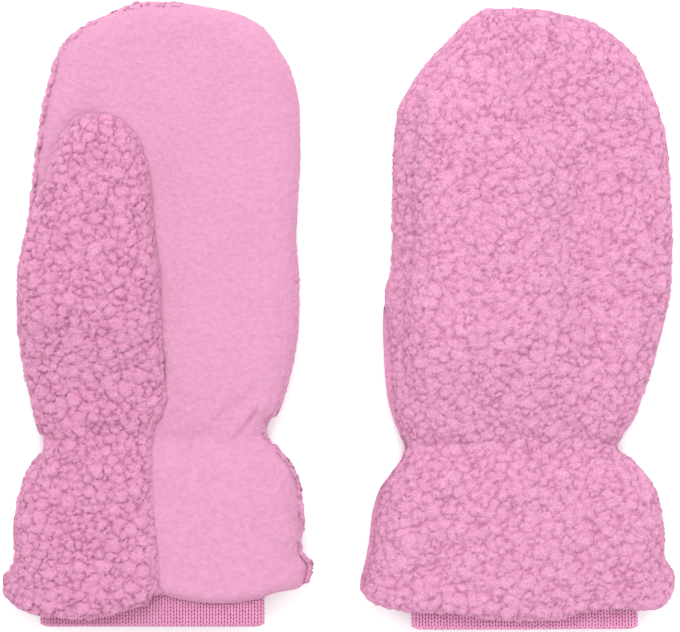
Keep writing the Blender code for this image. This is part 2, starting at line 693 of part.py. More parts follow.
def main():
    clear_scene()
    collection = bpy.data.collections.new("baby_mittens")
    bpy.context.scene.collection.children.link(collection)
    for layout in (PALM_UP, BACK_UP):
        mitten = Mitten(layout)
        back_panel(mitten)
        palm_panel(mitten)
        thumb_front(mitten)
        thumb_back(mitten)
        rib_cuff(mitten)


main()
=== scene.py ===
"""The pair of baby mittens as cloth: curly fleece, brushed fleece and ribbed knit.

Lengths are in millimetres in each mitten's own plan (x across, y up from the wrist, z up
from the table), as in the CAD source, whose sizes are repeated here. MM makes them metres.
A few differ, to match the photo with the curls on: the thumb's left side reaches further out
below its tip, PALM_SHOWS is narrower from its 26 mm level up and ends at 42 instead of 45,
and WRIST_DIP and one crease of PALM_UP_FOLDS are shallower.
"""
import math
from collections import namedtuple

import bmesh
import bpy
import numpy as np
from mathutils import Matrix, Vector, kdtree


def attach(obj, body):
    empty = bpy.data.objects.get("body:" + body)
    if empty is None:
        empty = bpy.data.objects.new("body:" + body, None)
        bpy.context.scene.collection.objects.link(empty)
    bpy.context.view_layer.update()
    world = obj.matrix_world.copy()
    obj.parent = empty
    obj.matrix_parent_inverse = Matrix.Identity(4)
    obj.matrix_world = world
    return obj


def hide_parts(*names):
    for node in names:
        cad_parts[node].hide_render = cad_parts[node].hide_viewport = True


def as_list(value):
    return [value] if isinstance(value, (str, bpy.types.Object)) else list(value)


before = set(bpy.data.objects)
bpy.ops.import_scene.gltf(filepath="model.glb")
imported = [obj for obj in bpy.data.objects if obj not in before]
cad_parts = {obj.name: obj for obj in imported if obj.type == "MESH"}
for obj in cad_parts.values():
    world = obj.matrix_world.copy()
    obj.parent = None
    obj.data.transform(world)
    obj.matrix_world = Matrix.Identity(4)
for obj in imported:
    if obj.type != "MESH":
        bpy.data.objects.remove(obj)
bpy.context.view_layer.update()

MM = 0.001

# The cloth, as in the CAD source
CURLY_WALL = 4.5
SMOOTH_WALL = 2.1
GAP = 0.3
SEAM_ROUND = 9
THUMB_ROUND = 8
BUTT_ROUND = 4
BUTT_RIM = 1.8
GROOVE_DEPTH = 1.2
GROOVE_ROUND = 3
HEM_ROUND = 2.5
HEM_DROP = 1.5
PEEK = 1
BACK_SHORT = 1.5
WALES = 76
WALE_HEIGHT = 0.45
KNIT_WALL = 1.15
CUFF_THICKNESS = 4.2
THUMB_RIGHT_RISE = (6, 24)
THUMB_TOP_RISE = (8, 40)
PALM_CUT_INSET = 12
INSET_ROOM = 0.8
THUMB_BACK_CUT = (33, 52)

Edge = namedtuple("Edge", "y left right")
Hem = namedtuple("Hem", "across y")
Height = namedtuple("Height", "y seam ceiling")
Section = namedtuple("Section", "y middle width")
Show = namedtuple("Show", "y past")
Fold = namedtuple("Fold", "x y turn length width depth")
Plan = namedtuple("Plan", "x level y from_hem place")
Cut = namedtuple("Cut", "seam inset side thumb")
Layout = namedtuple("Layout", "name centre outline hem heights thumb cut cuff folds palm_up")


def rows(kind, *values):
    """A table whose rows are of this kind."""
    return tuple(kind(*row) for row in values)


PALM_UP_OUTLINE = rows(
    Edge, (-40, -41.2, 41.6), (-37.5, -41.2, 42.5), (-35, -39.7, 42.7), (-32.8, -38.5, 41),
    (-30.4, -38.1, 39.6), (-24, -38.4, 40.3), (-16, -37.2, 39.8), (-10.5, -35.6, 38.6),
    (-6, -33.2, 36.2), (-2.5, -30.3, 33.3), (0, -30.2, 30.8), (3, -32, 29.8), (7.5, -33.1, 33.4),
    (14, -34.6, 35.6), (22, -36.2, 37.6), (32, -37.3, 38.8), (43, -37.3, 38.9), (54, -35.5, 38.1),
    (66, -34, 38.6), (78, -32.6, 39.2), (90, -30.8, 38.9), (99.5, -28.4, 36.8), (106, -25.9, 33.3),
    (111.5, -20.2, 29.2), (115.2, -13.2, 22.4), (117.4, -7.6, 12.2), (118.4, -4.4, 3.2))
BACK_UP_OUTLINE = rows(
    Edge, (-37.8, -41.1, 44.3), (-34.8, -40.8, 44.4), (-31.5, -39.9, 42.8), (-28.8, -39.3, 41.5),
    (-25, -38.6, 41.6), (-18, -37.8, 40.9), (-11.5, -35.9, 39.2), (-7, -32.8, 36.4),
    (-3, -29.9, 32.4), (0, -28.9, 28.8), (3, -30, 30.2), (7.5, -31.9, 33.2), (14, -33.6, 35.7),
    (22, -34.4, 38.4), (33, -34.8, 41.2), (42.5, -34.1, 43.2), (50, -32.6, 43.6),
    (58, -32.2, 43.7), (68, -32.3, 43.3), (80, -32, 42.5), (90, -31, 40.5), (98.5, -27, 37.4),
    (105.5, -21.8, 34), (111.5, -15.9, 28), (115.3, -12.3, 21.6), (117.8, -9, 12.6),
    (118.8, -6.2, 5.6))
PALM_UP_HEM = rows(
    Hem, (0.00, -41.4), (0.04, -44.2), (0.08, -45.7), (0.12, -47), (0.20, -47.4), (0.28, -47.7),
    (0.33, -47.2), (0.38, -46.2), (0.43, -44.8), (0.47, -43.9), (0.505, -40.8), (0.56, -42),
    (0.61, -42.8), (0.72, -43.5), (0.80, -42.8), (0.84, -42.2), (0.885, -40.8), (0.97, -39.5),
    (1.00, -38))
BACK_UP_HEM = rows(
    Hem, (0.00, -38.4), (0.035, -41.3), (0.08, -42.4), (0.17, -43.8), (0.28, -43.9), (0.35, -45),
    (0.41, -45.9), (0.52, -46), (0.63, -45.9), (0.70, -43.9), (0.80, -43.1), (0.90, -43.4),
    (0.945, -43.3), (0.98, -40.6), (1.00, -38.2))
PALM_UP_HEIGHTS = rows(
    Height, (-40, 6.3, 9.5), (-7.5, 6.2, 9.4), (0, 4.9, 6.7), (10, 5.3, 7.2), (40, 5.6, 7.5),
    (118.4, 5.5, 7.3))
BACK_UP_HEIGHTS = rows(
    Height, (-40, 3.7, 7.2), (-7.5, 3.6, 7.1), (0, 3, 4.4), (10, 3.4, 4.9), (40, 3.6, 5.1),
    (119, 3.6, 4.9))
THUMB_OUTLINE = rows(
    Edge, (-40, -41.6, 1.4), (-33, -38.7, 1), (-27, -38.2, 0.5), (-21.5, -37.9, 0),
    (-14, -37, -0.7), (-3, -30.2, -0.9), (2.5, -31, -0.5), (7, -33, 2.1), (11, -33.9, 3),
    (18, -35.4, 2.5), (27, -36.8, 2.1), (38, -37.2, 1.6), (44, -37.1, 1.5), (49, -36.8, 0.9),
    (55.5, -35, 0), (60, -34, -0.6), (67.5, -31.1, -0.9), (75.6, -28.2, -2.4), (81.5, -25.3, -4.7),
    (84.8, -23.2, -7.4), (87, -20.8, -10.8), (87.8, -18.5, -13.5))
PALM_UP_CUFF = rows(
    Section, (-10.5, -0.5, 47.5), (-42, -0.8, 60.3), (-49.5, -0.8, 60.5), (-50.4, -0.8, 58.9))
BACK_UP_CUFF = rows(
    Section, (-10.5, 1, 47.5), (-40, 3.4, 61), (-48.1, 3.6, 61.3), (-49, 3.6, 59.7))

# The largest creases, most of them where the wrist is drawn in
PALM_UP_FOLDS = rows(
    Fold, (23, 9.5, 42, 9, 2.2, 0.9), (16.5, 3, 28, 8, 1.8, 0.25), (24, -6.5, -38, 8, 2.2, 0.8),
    (10, -5, -70, 7, 1.8, 0.6), (5, 6, 80, 7, 1.8, 0.5), (-20, 4, -20, 8, 2, 0.9),
    (-10, -7, 75, 7, 1.8, 0.7), (-24, -8, 40, 8, 2.2, 0.8))
BACK_UP_FOLDS = rows(
    Fold, (-22, 0.5, 8, 9, 2, 1.4), (-12, -5, -62, 8, 2, 0.8), (0, 5, 82, 8, 2, 0.7),
    (9, -5, 68, 8, 2, 0.8), (18, 4, -35, 8, 2, 0.9), (23, -5, -40, 8, 2.2, 0.9))
INNER_PRESS = 0.2  # how much of a crease's depth reaches the wall's inner surface
WRIST_DIP = 0.5  # a shallow trough across the drawn-in wrist
WRIST_DIP_WIDTH = 3.2

PALM_UP = Layout("left", (-49.9, -33.2), PALM_UP_OUTLINE, PALM_UP_HEM, PALM_UP_HEIGHTS,
                 THUMB_OUTLINE, Cut(22, 29, 33.5, (27, 32.5)), PALM_UP_CUFF, PALM_UP_FOLDS, True)
BACK_UP = Layout("right", (46.4, -35.4), BACK_UP_OUTLINE, BACK_UP_HEM, BACK_UP_HEIGHTS,
                 THUMB_OUTLINE, Cut(22, 42, 50, (38, 46)), BACK_UP_CUFF, BACK_UP_FOLDS, False)

# Palm up, the thumb lies on the palm; its side seam droops where the mitten's side does
THUMB_SEAM = 10.8
THUMB_SIDE_SEAM = 9.6
THUMB_SIDE = (52, 72)
THUMB_TOP = 17.8
THUMB_HOLLOW_TOP = 13.3
THUMB_RIM = 12.3  # inner edge of the curly front, clear of the thumb's back

# Back up, the thumb is underneath and the mitten is draped over it
TUCK = 8.5  # how far inside the outline the thumb is tucked
TUCKED_SEAM = 4.9
TUCKED_TOP = 7.4  # top of the tucked thumb
TUCKED_LIFT = 8.1  # height of the palm that lies on it
FRONT_LIFT = CURLY_WALL - SMOOTH_WALL
DRAPE = 21  # how far the cloth takes to come down to the table
DRAPE_TIP = 24
DRAPE_SIDE = 5.5  # the cloth rises over the thumb from this far inside its edge
DRAPE_BASE = (2, 34)  # levels between which it rises on to the thumb's root

# How far the palm shows past the back at the left, back up, and the back at the right, palm up
PALM_SHOWS = rows(
    Show, (-38, 1.2), (-20, 1.4), (0, 0.5), (10, 1.6), (26, 2.2), (33, 1.5), (38.5, 0.3), (42, 0),
    (119, 0))
PALM_PEEK = rows(
    Show, (-40, 1.6), (-35, 1.8), (-30, 1.2), (-4, 0.9), (8, 0.7), (22, 0.15), (119, 0.15))

# How the cloth is modelled here
COARSE = 1
BACKING = 0.26  # share of the curly wall that is its backing
PILE_ROOT = 0.28  # where in the wall the pile begins
PILE_STEP, SMOOTH_STEP = 6, 4  # a wall's hidden side is this many times coarser
HEM_BULGE = 0.5  # the turned hem's fold stands out this far
TIP_ROUND = 0.25  # rounds off the tips' last row
TABLE_GAP = 0.04  # nothing reaches below this height
SEWN = 0.45  # edges that are sewn together go into one another
CUT_LOWER = 3.5  # the palm goes on this far down inside the thumb's root
SEAM_LAP = 0.7  # the smooth palm goes on this far under the curly edge
CREST, CREST_IN, CREST_END = 0.3, 1.5, (20, 26)  # its crest beside that edge, and its end
EAR_HEM = (0.84, 0.94)  # past this share across, both hems end together
PALM_SWELL, SWELL_WIDTH = 0.7, 2.5  # the palm swells under the thumb's free edge

# spacing and height are a curl's, spread says how its size varies, dome how far it reaches,
# stretch how long it is; crevices are that deep, down to deepest under the middle level
Curls = namedtuple("Curls", "spacing spread height dome stretch crevice deepest level seed")
BACK_CURLS = Curls(2.3, 0.38, 1.2, 0.89, 1.35, 0.54, 0.52, 1.03, 3)
FRONT_CURLS = Curls(2.3, 0.4, 1.46, 0.86, 1.12, 0.62, 0.68, 1.22, 7)
FILL_SIZES, FILL_TRIES = (1, 0.72, 0.52), (14000, 9000, 9000)
NEIGHBOURS = 7  # domes that are tried at each point
TURN_VARIES, STRETCH_VARIES = 0.5, 0.1
TOPS, TOP_BY_SIZE = (0.88, 1.03), 0.15  # how high the domes are, and how that goes with size
DOME_FLAT, DOME_FALL = 1.4, 0.88  # a dome is flat on top and falls off steeply
LUMPS = ((1.5, 21), (0.8, 23))  # size and seed of the noise in a curl's own lumps
LUMP = 0.2
WARP = 0.42  # how far out of shape the curls are
WARP_NOISE = ((2.2, (11, 12, 13)), (1, (14, 15, 16)))
TILT = 0.34  # how far a curl's lower side stands out over the next one
TILT_WAY, TILT_VARIES = -math.pi / 2, 0.7
PARTING = (-0.5, 0.5)  # curls run together where noise is low, and part where high
LEAST_APART = 0.12
CREVICE_WIDTH = 0.14
RIM_SHARES = (0.06, 0.13, 0.21, 0.3, 0.39, 0.48)  # the pile goes on round the wall's edge
RIM_SINK = 0.15
SHALLOWEST = -0.25  # at an edge, crevices go no deeper than this
UNEVEN = (0.35, 2.25)  # the rim beside the hand is bumpy by one to the other of these
BEAD_WIDTH = 0.48  # share of the wall that the beaded rim takes
BUTT_FADE, BUTT_LOW = 1.6, 0.4  # beside the smooth palm, curls are lower, down to this share
BUTT_LEAN, BUTT_SINK, BUTT_REACH = 0.45, 0.45, 1.6  # the curly edge lies over that seam
HAND_SIDE = (0, 10), (0, 14)  # x and y past which a point is at the hand's right
PAINTED_SHADE_RANGE = 0.55  # painted shade between the curls: a point is palest this share of a curl's height above the middle level
CURL_EDGE_PAINTED_SHADE, EDGE_OWN = 0.66, 0.35  # the painted shade's level at an edge, and how much of a curl's own painted shade stays

# height, size and seed of the brushed fleece's pebbles, nap and waves
PEBBLES, NAP, WAVES = (0.13, 2, 31), (0.14, 1.3, 32), (0.12, 7, 33)
PEBBLE_STRETCH = np.array([0.75, 1, 1])
NAP_MIDDLE = 0.05
TURNED_IN_PAINTED_SHADE = (1.5, 5)  # from its left edge, where the cloth turns in: painted shade, darkest up to the first distance and gone past the second


def smooth_through(xs, ys):
    """A monotone cubic curve through the points, held level past both ends."""
    order = np.argsort(xs)
    xs, ys = np.array(xs, float)[order], np.array(ys, float)[order]
    step = np.diff(xs)
    slope = np.diff(ys) / step
    tangent = np.zeros(len(xs))
    for i in range(1, len(xs) - 1):
        if slope[i - 1] * slope[i] > 0:
            before = 2 * step[i] + step[i - 1]
            after = step[i] + 2 * step[i - 1]
            tangent[i] = (before + after) / (before / slope[i - 1] + after / slope[i])
    tangent[0], tangent[-1] = slope[0], slope[-1]

    def curve(x):
        x = np.clip(x, xs[0], xs[-1])
        i = np.clip(np.searchsorted(xs, x) - 1, 0, len(step) - 1)
        t = (x - xs[i]) / step[i]
        return ((1 + 2 * t) * (1 - t) ** 2 * ys[i] + t * (1 - t) ** 2 * step[i] * tangent[i]
                + t * t * (3 - 2 * t) * ys[i + 1] + t * t * (t - 1) * step[i] * tangent[i + 1])
    return curve


def column(table, key, name):
    return smooth_through([getattr(row, key) for row in table],
                          [getattr(row, name) for row in table])


def rise(value, levels):
    """0 below the first level, 1 above the second, smooth between them."""
    t = np.clip((value - levels[0]) / (levels[1] - levels[0]), 0.0, 1.0)
    return t * t * (3 - 2 * t)


def blend(a, b, share):
    return a + (b - a) * share


def crown(distance):
    """Height of a rounded edge, 0 at the edge and 1 from a distance of 1 inwards."""
    inside = 1 - np.clip(distance, 0.0, 1.0)
    return np.sqrt(1 - inside * inside)


def outline_side(table, side):
    """An outline's left or right edge by level; it turns over smoothly at the tip."""
    tip = table[-1].y
    curve = smooth_through([-math.sqrt(tip - row.y) for row in table],
                           [getattr(row, side) for row in table])
    return lambda y: curve(-np.sqrt(np.maximum(tip - y, 0.0)))


def distance_to(x, y, line):
    """Distance in plan from each grid point to a line of points."""
    start, end = line[:-1], line[1:]
    along = end - start
    length = np.maximum((along ** 2).sum(1), 1e-9)
    far = np.empty_like(x)
    for i, (row_x, row_y) in enumerate(zip(x, y)):
        offset = np.stack([row_x, row_y], -1)[:, None, :] - start
        share = np.clip((offset * along).sum(-1) / length, 0.0, 1.0)
        far[i] = np.sqrt(((offset - share[..., None] * along) ** 2).sum(-1)).min(-1)
    return far


FINE_CREASES = {  # narrow creases at the drawn-in wrist
    "left": rows(Fold, (26.2, 6, 58, 3.2, 0.65, 1.2), (23, 1.8, 48, 2.8, 0.7, 0.7),
                 (28.6, 1.2, 22, 2.4, 0.8, 0.8), (27, -2.5, -38, 4, 0.9, 0.7),
                 (17.5, 6.5, 42, 4.5, 1, 0.3), (12, -3, -12, 5, 1.2, 0.3)),
    "right": (),
}


def creased(layout, x, y):
    """How deep the creases and the drawn-in wrist press into the cloth."""
    depth = WRIST_DIP * np.exp(-(y / WRIST_DIP_WIDTH) ** 2)
    for fold in layout.folds + FINE_CREASES[layout.name]:
        turn = math.radians(fold.turn)
        along = (x - fold.x) * math.cos(turn) + (y - fold.y) * math.sin(turn)
        across = (y - fold.y) * math.cos(turn) - (x - fold.x) * math.sin(turn)
        reach = (along / fold.length) ** 2 + (across / fold.width) ** 2
        depth = depth + fold.depth * np.exp(-reach)
    return depth


def eased(low, high, count=90):
    """Levels from low to high that lie closer and closer together."""
    return blend(low, high, np.sin(np.linspace(0, math.pi / 2, count)))


def edge_line(edge, levels):
    """Points in plan along an edge, at these levels."""
    return np.stack([edge(levels), levels], -1)


def plan_line(left, right, low, high):
    """A piece's outline in plan, up its left edge, over its tip and down its right."""
    levels = eased(low, high)
    return np.concatenate([edge_line(left, levels), edge_line(right, levels)[::-1]])


class Mitten:
    """One mitten's plan and the heights of its layers, worked out from its tables."""

    def __init__(self, layout):
        self.layout, self.palm_up = layout, layout.palm_up
        self.left = outline_side(layout.outline, "left")
        self.right = outline_side(layout.outline, "right")
        self.thumb_side = outline_side(layout.thumb, "left")
        self.thumb_right = outline_side(layout.thumb, "right")
        self.seam = column(layout.heights, "y", "seam")
        self.ceiling = column(layout.heights, "y", "ceiling")
        self.hem = column(layout.hem, "across", "y")
        self.hem_level, self.tip = layout.outline[0].y, layout.outline[-1].y
        self.thumb_tip = layout.thumb[-1].y
        self.outline = plan_line(self.left, self.right, self.hem_level, self.tip)

    def thumb_left(self, y):
        """The thumb's left edge: the mitten's own below it, and tucked in if it is under."""
        left = self.left(y)
        free = np.maximum(self.thumb_side(y), left + (0 if self.palm_up else TUCK))
        return blend(left, free, rise(y, self.layout.cut.thumb))

    def base(self, x, y):
        """Height of the cloth's underside: 0, or draped over the thumb under it."""
        if self.palm_up:
            return np.zeros_like(x)
        edge = self.thumb_right(np.minimum(y, self.thumb_tip))
        beside = 1 - rise(x, (edge, edge + DRAPE))
        over_tip = 1 - rise(y, (self.thumb_tip - 2, self.thumb_tip + DRAPE_TIP))
        over_side = crown((x - self.left(y) - DRAPE_SIDE) / THUMB_ROUND)
        lifted = beside * over_tip * over_side * rise(y, DRAPE_BASE)
        return blend(FRONT_LIFT * beside * over_tip, TUCKED_LIFT, lifted)

    def seam_level(self, x, y):
        """Level of the seam between palm and back at the side that a point is nearer."""
        left, right = self.left(y), self.right(y)
        sides = blend(self.base(left, y), self.base(right, y), rise(x, (left, right)))
        return sides + self.seam(y)

    def grid(self, left, right, level, share, inset, tip_inset, short=0):
        """Points in plan at these levels and shares of the width, with the hem's line."""
        start, end = left(level), right(level)
        room = np.minimum(INSET_ROOM * (end - start) / np.maximum(sum(inset), 1), 1)
        start, end = start + inset[0] * room, end - inset[1] * room
        x = start + (end - start) * share
        width = self.right(level) - self.left(level)
        across = np.clip((x - self.left(level)) / width, 0, 1)
        hem = self.hem(across) + short * (1 - rise(across, EAR_HEM))
        top = level[-1, 0]
        level = np.where(level < 0, level, level * (top - tip_inset) / top)
        y = np.where(level < 0, level * hem / self.hem_level, level)
        y = y + TIP_ROUND * rise(level, (top - 1.5, top)) * (1 - (2 * share - 1) ** 2)
        return Plan(x, level, y, np.maximum(y - hem, 0), (x, level))


class Panel:
    """One sheet of a mitten; surface() gives its points by level, share across and depth."""
    faces_palm = True
    bead = 0  # how far its rim's curls stand up beside the palm
    turned_shade = 1  # how dark the painted shade is at its left edge, where the cloth turns in

    def __init__(self, mitten):
        self.mitten, self.palm_up = mitten, mitten.palm_up
        self.low, self.top = mitten.hem_level, mitten.tip
        self.outward = 1 if self.faces_palm == self.palm_up else -1

    def butt(self, level):
        """1 where the right edge butts against the smooth palm, 0 where it is free."""
        return 0 * level

    def crest(self, level):
        """How far the cloth stands up beside the curly front."""
        return 0 * level

    def levels(self, plan, depth):
        """Levels of its lower and upper surfaces, at this depth in the wall, and of its edge."""
        base = self.mitten.base(*plan.place)
        edge = self.mitten.seam_level(*plan.place) - SEWN * (self.outward > 0)
        return base + depth, base + self.mitten.ceiling(plan.level) + self.wall - depth, edge

    def inside(self, plan, line, depth):
        """How far inside its outline each point lies, as a share of the seam's rounding."""
        return (distance_to(*plan.place, line) - depth) / (SEAM_ROUND - depth)

    def shell(self, plan, share, edge, middle, depth):
        """One surface of the wall, which leaves the edge's level and is rounded off."""
        outside = depth == 0
        press = creased(self.mitten.layout, *plan.place) * (1 if outside else INNER_PRESS)
        if self.outward < 0:
            press = 0
        if outside:  # the hem is turned
            press = press + HEM_DROP * (1 - crown(plan.from_hem / HEM_ROUND))
        z = edge + (middle - edge - self.outward * press) * crown(share)
        return np.stack([plan.x, plan.y, z], -1)


class BackPanel(Panel):
    """The curly back, from the hem to the fingertips."""
    name, node, wall = "back", "back_panel", CURLY_WALL
    faces_palm = False
    bumpy = 1.4  # how far its curls stand out along its edges
    fades = (2, 2, 2)  # from its left, right and upper edge to curls of full height
    bead = 2

    def __init__(self, mitten):
        super().__init__(mitten)
        self.pitch = 0.5 if self.palm_up else 0.44
        self.past = column(PALM_SHOWS, "y", "past")
        self.line = plan_line(self.left, mitten.right, self.low, self.top)

    def left(self, y):
        return self.mitten.left(y) + (0 if self.palm_up else self.past(y))

    def surface(self, level, share, depth):
        mitten, palm_up = self.mitten, self.palm_up
        left, line = (self.left, self.line) if depth == 0 else (mitten.left, mitten.outline)
        plan = mitten.grid(left, mitten.right, level, share, (depth, depth), depth,
                           BACK_SHORT if palm_up else 0)
        low, high, edge = self.levels(plan, depth)
        middle = low if palm_up else high
        return self.shell(plan, self.inside(plan, line, depth), edge, middle, depth)


class PalmPanel(Panel):
    """The smooth palm, behind the thumb above its root and beside the curly front below."""
    name, node, wall = "palm", "palm_panel", SMOOTH_WALL

    def __init__(self, mitten):
        super().__init__(mitten)
        # back up, the palm's left edge, where it turns in, is darkened with painted shade
        self.pitch, self.turned_shade = (0.6, 1) if self.palm_up else (0.8, 0.8)
        self.peek = column(PALM_PEEK, "y", "past")
        self.lower = CUT_LOWER * self.palm_up
        self.side_line = plan_line(self.side, self.right, self.low, self.top)
        self.seam_line = edge_line(self.left, np.linspace(self.low, mitten.layout.cut.inset, 60))
        self.thumb_line = edge_line(mitten.thumb_right,
                                    eased(THUMB_RIGHT_RISE[1], mitten.thumb_tip, 60))

    def crest(self, level):
        return CREST * (1 - rise(level, CREST_END))

    def side(self, y):
        return self.mitten.left(y) + PEEK * self.palm_up

    def beside_cut(self, y):
        """0 where the left edge is cut along the thumb, 1 where it is the mitten's side."""
        cut = self.mitten.layout.cut
        return rise(y, (cut.inset - self.lower, cut.side - self.lower))

    def left(self, y):
        cut = self.mitten.layout.cut
        seam = self.mitten.thumb_right(y) - SEAM_LAP
        edge = self.side(y) + PALM_CUT_INSET * (1 - self.beside_cut(y))
        return blend(seam, edge, rise(y, (cut.seam, cut.inset)))

    def right(self, y):
        return self.mitten.right(y) - self.peek(y) * self.palm_up

    def surface(self, level, share, depth):
        outside = depth == 0
        inset = (depth * self.beside_cut(level), depth)
        plan = self.mitten.grid(self.left, self.right, level, share, inset, depth)
        from_seam = distance_to(*plan.place, self.seam_line)
        groove = GROOVE_DEPTH * (1 - crown(from_seam / GROOVE_ROUND)) * outside
        groove = groove * crown(plan.from_hem / HEM_ROUND)
        if self.palm_up and outside:
            beside = distance_to(*plan.place, self.thumb_line)
            groove = groove - PALM_SWELL * np.exp(-(beside / SWELL_WIDTH) ** 2)
        low, high, edge = self.levels(plan, depth)
        middle = high - groove if self.palm_up else low + groove
        return self.shell(plan, self.inside(plan, self.side_line, depth), edge, middle, depth)


def thumb_lines(mitten, low):
    """The thumb front's left edge, on over its tip, and its right edge, in plan."""
    levels = eased(low, mitten.thumb_tip)
    left, right = edge_line(mitten.thumb_left, levels), edge_line(mitten.thumb_right, levels)
    return np.concatenate([left, right[-1:]]), right


def thumb_seam(y):
    """Level of the thumb's own seam at its side and at its palm edge, palm up."""
    return blend(THUMB_SIDE_SEAM, THUMB_SEAM, rise(y, THUMB_SIDE)), THUMB_SEAM


class ThumbFront(Panel):
    """The curly front of the thumb, in one piece with the lower palm down to the hem."""
    name, node, wall = "thumb_front", "thumb_front", CURLY_WALL

    def __init__(self, mitten):
        super().__init__(mitten)
        self.top = mitten.thumb_tip
        self.bumpy, self.pitch = (0.8, 0.4) if self.palm_up else (0.15, 0.55)
        self.fades = (2.5, 2, 5) if self.palm_up else (3, 3, 3)
        self.left, self.right = mitten.thumb_left, mitten.thumb_right
        self.left_line, self.right_line = thumb_lines(mitten, self.low)

    def butt(self, level):
        return 1 - rise(level, THUMB_RIGHT_RISE)

    def surface(self, level, share, depth):
        free = rise(level, THUMB_RIGHT_RISE)
        plan = self.mitten.grid(self.left, self.right, level, share, (depth, depth * free), depth)
        left_far = distance_to(*plan.place, self.left_line) - depth
        right_far = distance_to(*plan.place, self.right_line) - depth * free
        right_round = blend(BUTT_ROUND, THUMB_ROUND - depth, free)
        edge, middle = self.heights(plan, BUTT_RIM * (1 - free), depth)
        inside = np.minimum(left_far / (THUMB_ROUND - depth), right_far / right_round)
        return self.shell(plan, inside, edge, middle, depth)

    def heights(self, plan, rim, depth):
        """Level of the curly front's edge, and of one of its surfaces away from the edge."""
        mitten, x, y = self.mitten, plan.x, plan.level
        across = rise(x, (mitten.thumb_left(y), mitten.thumb_right(y)))
        left_rise, right_rise = rise(y, mitten.layout.cut.thumb), rise(y, THUMB_RIGHT_RISE)
        outside = depth == 0
        seam = mitten.seam_level(x, y)
        if not self.palm_up:
            left = blend(seam, TUCKED_SEAM, left_rise)
            right = blend(CURLY_WALL - rim * outside, TUCKED_SEAM, right_rise)
            return blend(left, right, across), depth + 0 * x
        side, palm_side = thumb_seam(y) if outside else (THUMB_RIM, THUMB_RIM)
        left = blend(seam - SEWN, side, left_rise)
        right = blend(mitten.ceiling(y) + rim * outside, palm_side, right_rise)
        low = mitten.ceiling(y) + CURLY_WALL - depth
        high = THUMB_TOP if outside else THUMB_HOLLOW_TOP
        return blend(left, right, across), blend(low, high, rise(y, THUMB_TOP_RISE))


class ThumbBack(Panel):
    """The smooth back of the thumb, between the curly front and the palm."""
    name, node, wall = "thumb_back", "thumb_back", SMOOTH_WALL
    faces_palm = False
    pitch = 0.7

    def __init__(self, mitten):
        super().__init__(mitten)
        self.low, self.top = THUMB_BACK_CUT[0], mitten.thumb_tip
        self.right = mitten.thumb_right
        self.line = np.concatenate(thumb_lines(mitten, self.low - THUMB_ROUND))

    def left(self, y):
        mitten = self.mitten
        return blend(mitten.thumb_right(y) - THUMB_ROUND, mitten.thumb_left(y),
                     rise(y, THUMB_BACK_CUT))

    def surface(self, level, share, depth):
        mitten = self.mitten
        plan = mitten.grid(self.left, self.right, level, share, (depth, depth), depth)
        far = distance_to(*plan.place, self.line)
        if self.palm_up:
            across = rise(plan.x, (mitten.thumb_left(plan.level), mitten.thumb_right(plan.level)))
            edge = blend(*thumb_seam(plan.level), across) + SEWN
            middle = mitten.ceiling(plan.level) + self.wall + GAP + depth
        else:
            edge = TUCKED_SEAM - SEWN + 0 * plan.x
            middle = TUCKED_TOP - depth + 0 * plan.x
        z = edge + (middle - edge) * crown((far - depth) / (THUMB_ROUND - depth))
        return np.stack([plan.x, plan.y, z], -1)


def arc_length(points):
    """Length along each row of points, from 0."""
    steps = np.linalg.norm(np.diff(points, axis=-2), axis=-1)
    start = np.zeros(steps.shape[:-1] + (1,))
    return np.concatenate([start, np.cumsum(steps, -1)], -1)


def even_grid(panel, pitch):
    """Levels and shares that put a panel's points about a pitch apart on its surface."""
    dense = eased(panel.low, panel.top, 500)
    centre = panel.surface(dense[:, None], np.full((len(dense), 1), 0.5), 0)[:, 0]
    length = arc_length(centre)
    rows = max(int(length[-1] / pitch), 8)
    levels = np.interp(np.linspace(0, length[-1], rows), length, dense)
    levels[0], levels[-1] = panel.low, panel.top
    shares = 0.5 - 0.5 * np.cos(np.linspace(0, math.pi, 360))
    level_grid, share_grid = np.meshgrid(levels, shares, indexing="ij")
    lengths = arc_length(panel.surface(level_grid, share_grid, 0))
    columns = max(int(lengths[:, -1].max() / pitch), 8)
    even = np.array([np.interp(np.linspace(0, row[-1], columns), row, shares)
                     for row in lengths])
    return levels[:, None] * np.ones(columns), even


def noise(points, size, seed):
    """Smooth random values from -1 to 1 that change over about this size."""
    p = points / size + seed * 17.31
    cell = np.floor(p).astype(np.int64)
    f = p - cell
    f = f * f * (3 - 2 * f)
    total = np.zeros(p.shape[:-1])
    for corner in range(8):
        step = np.array([corner & 1, corner >> 1 & 1, corner >> 2])
        q = (cell + step).astype(np.uint64)
        h = (q[..., 0] * np.uint64(73856093)) ^ (q[..., 1] * np.uint64(19349663)) \
            ^ (q[..., 2] * np.uint64(83492791)) ^ np.uint64(seed * 2654435761 % 2 ** 32)
        h = (h ^ (h >> np.uint64(13))) * np.uint64(1274126177)
        h = (h ^ (h >> np.uint64(16))) & np.uint64(0xffff)
        weight = np.where(step, f, 1 - f).prod(-1)
        total += weight * (h.astype(float) / 32767.5 - 1)
    return total


def waves(points, height, size, seed):
    """Noise of this height."""
    return height * noise(points, size, seed)


def grid_normals(points, outward):
    """Unit normals of a grid of points, on the side that the panel faces."""
    normal = np.cross(np.gradient(points, axis=1), np.gradient(points, axis=0))
    normal /= np.maximum(np.linalg.norm(normal, axis=-1, keepdims=True), 1e-9)
    return normal * outward


def grid_faces(grid):
    """A face for each cell of a grid of vertices."""
    corners = (grid[:-1, :-1], grid[:-1, 1:], grid[1:, 1:], grid[1:, :-1])
    return np.stack(corners, -1).reshape(-1, 4).tolist()


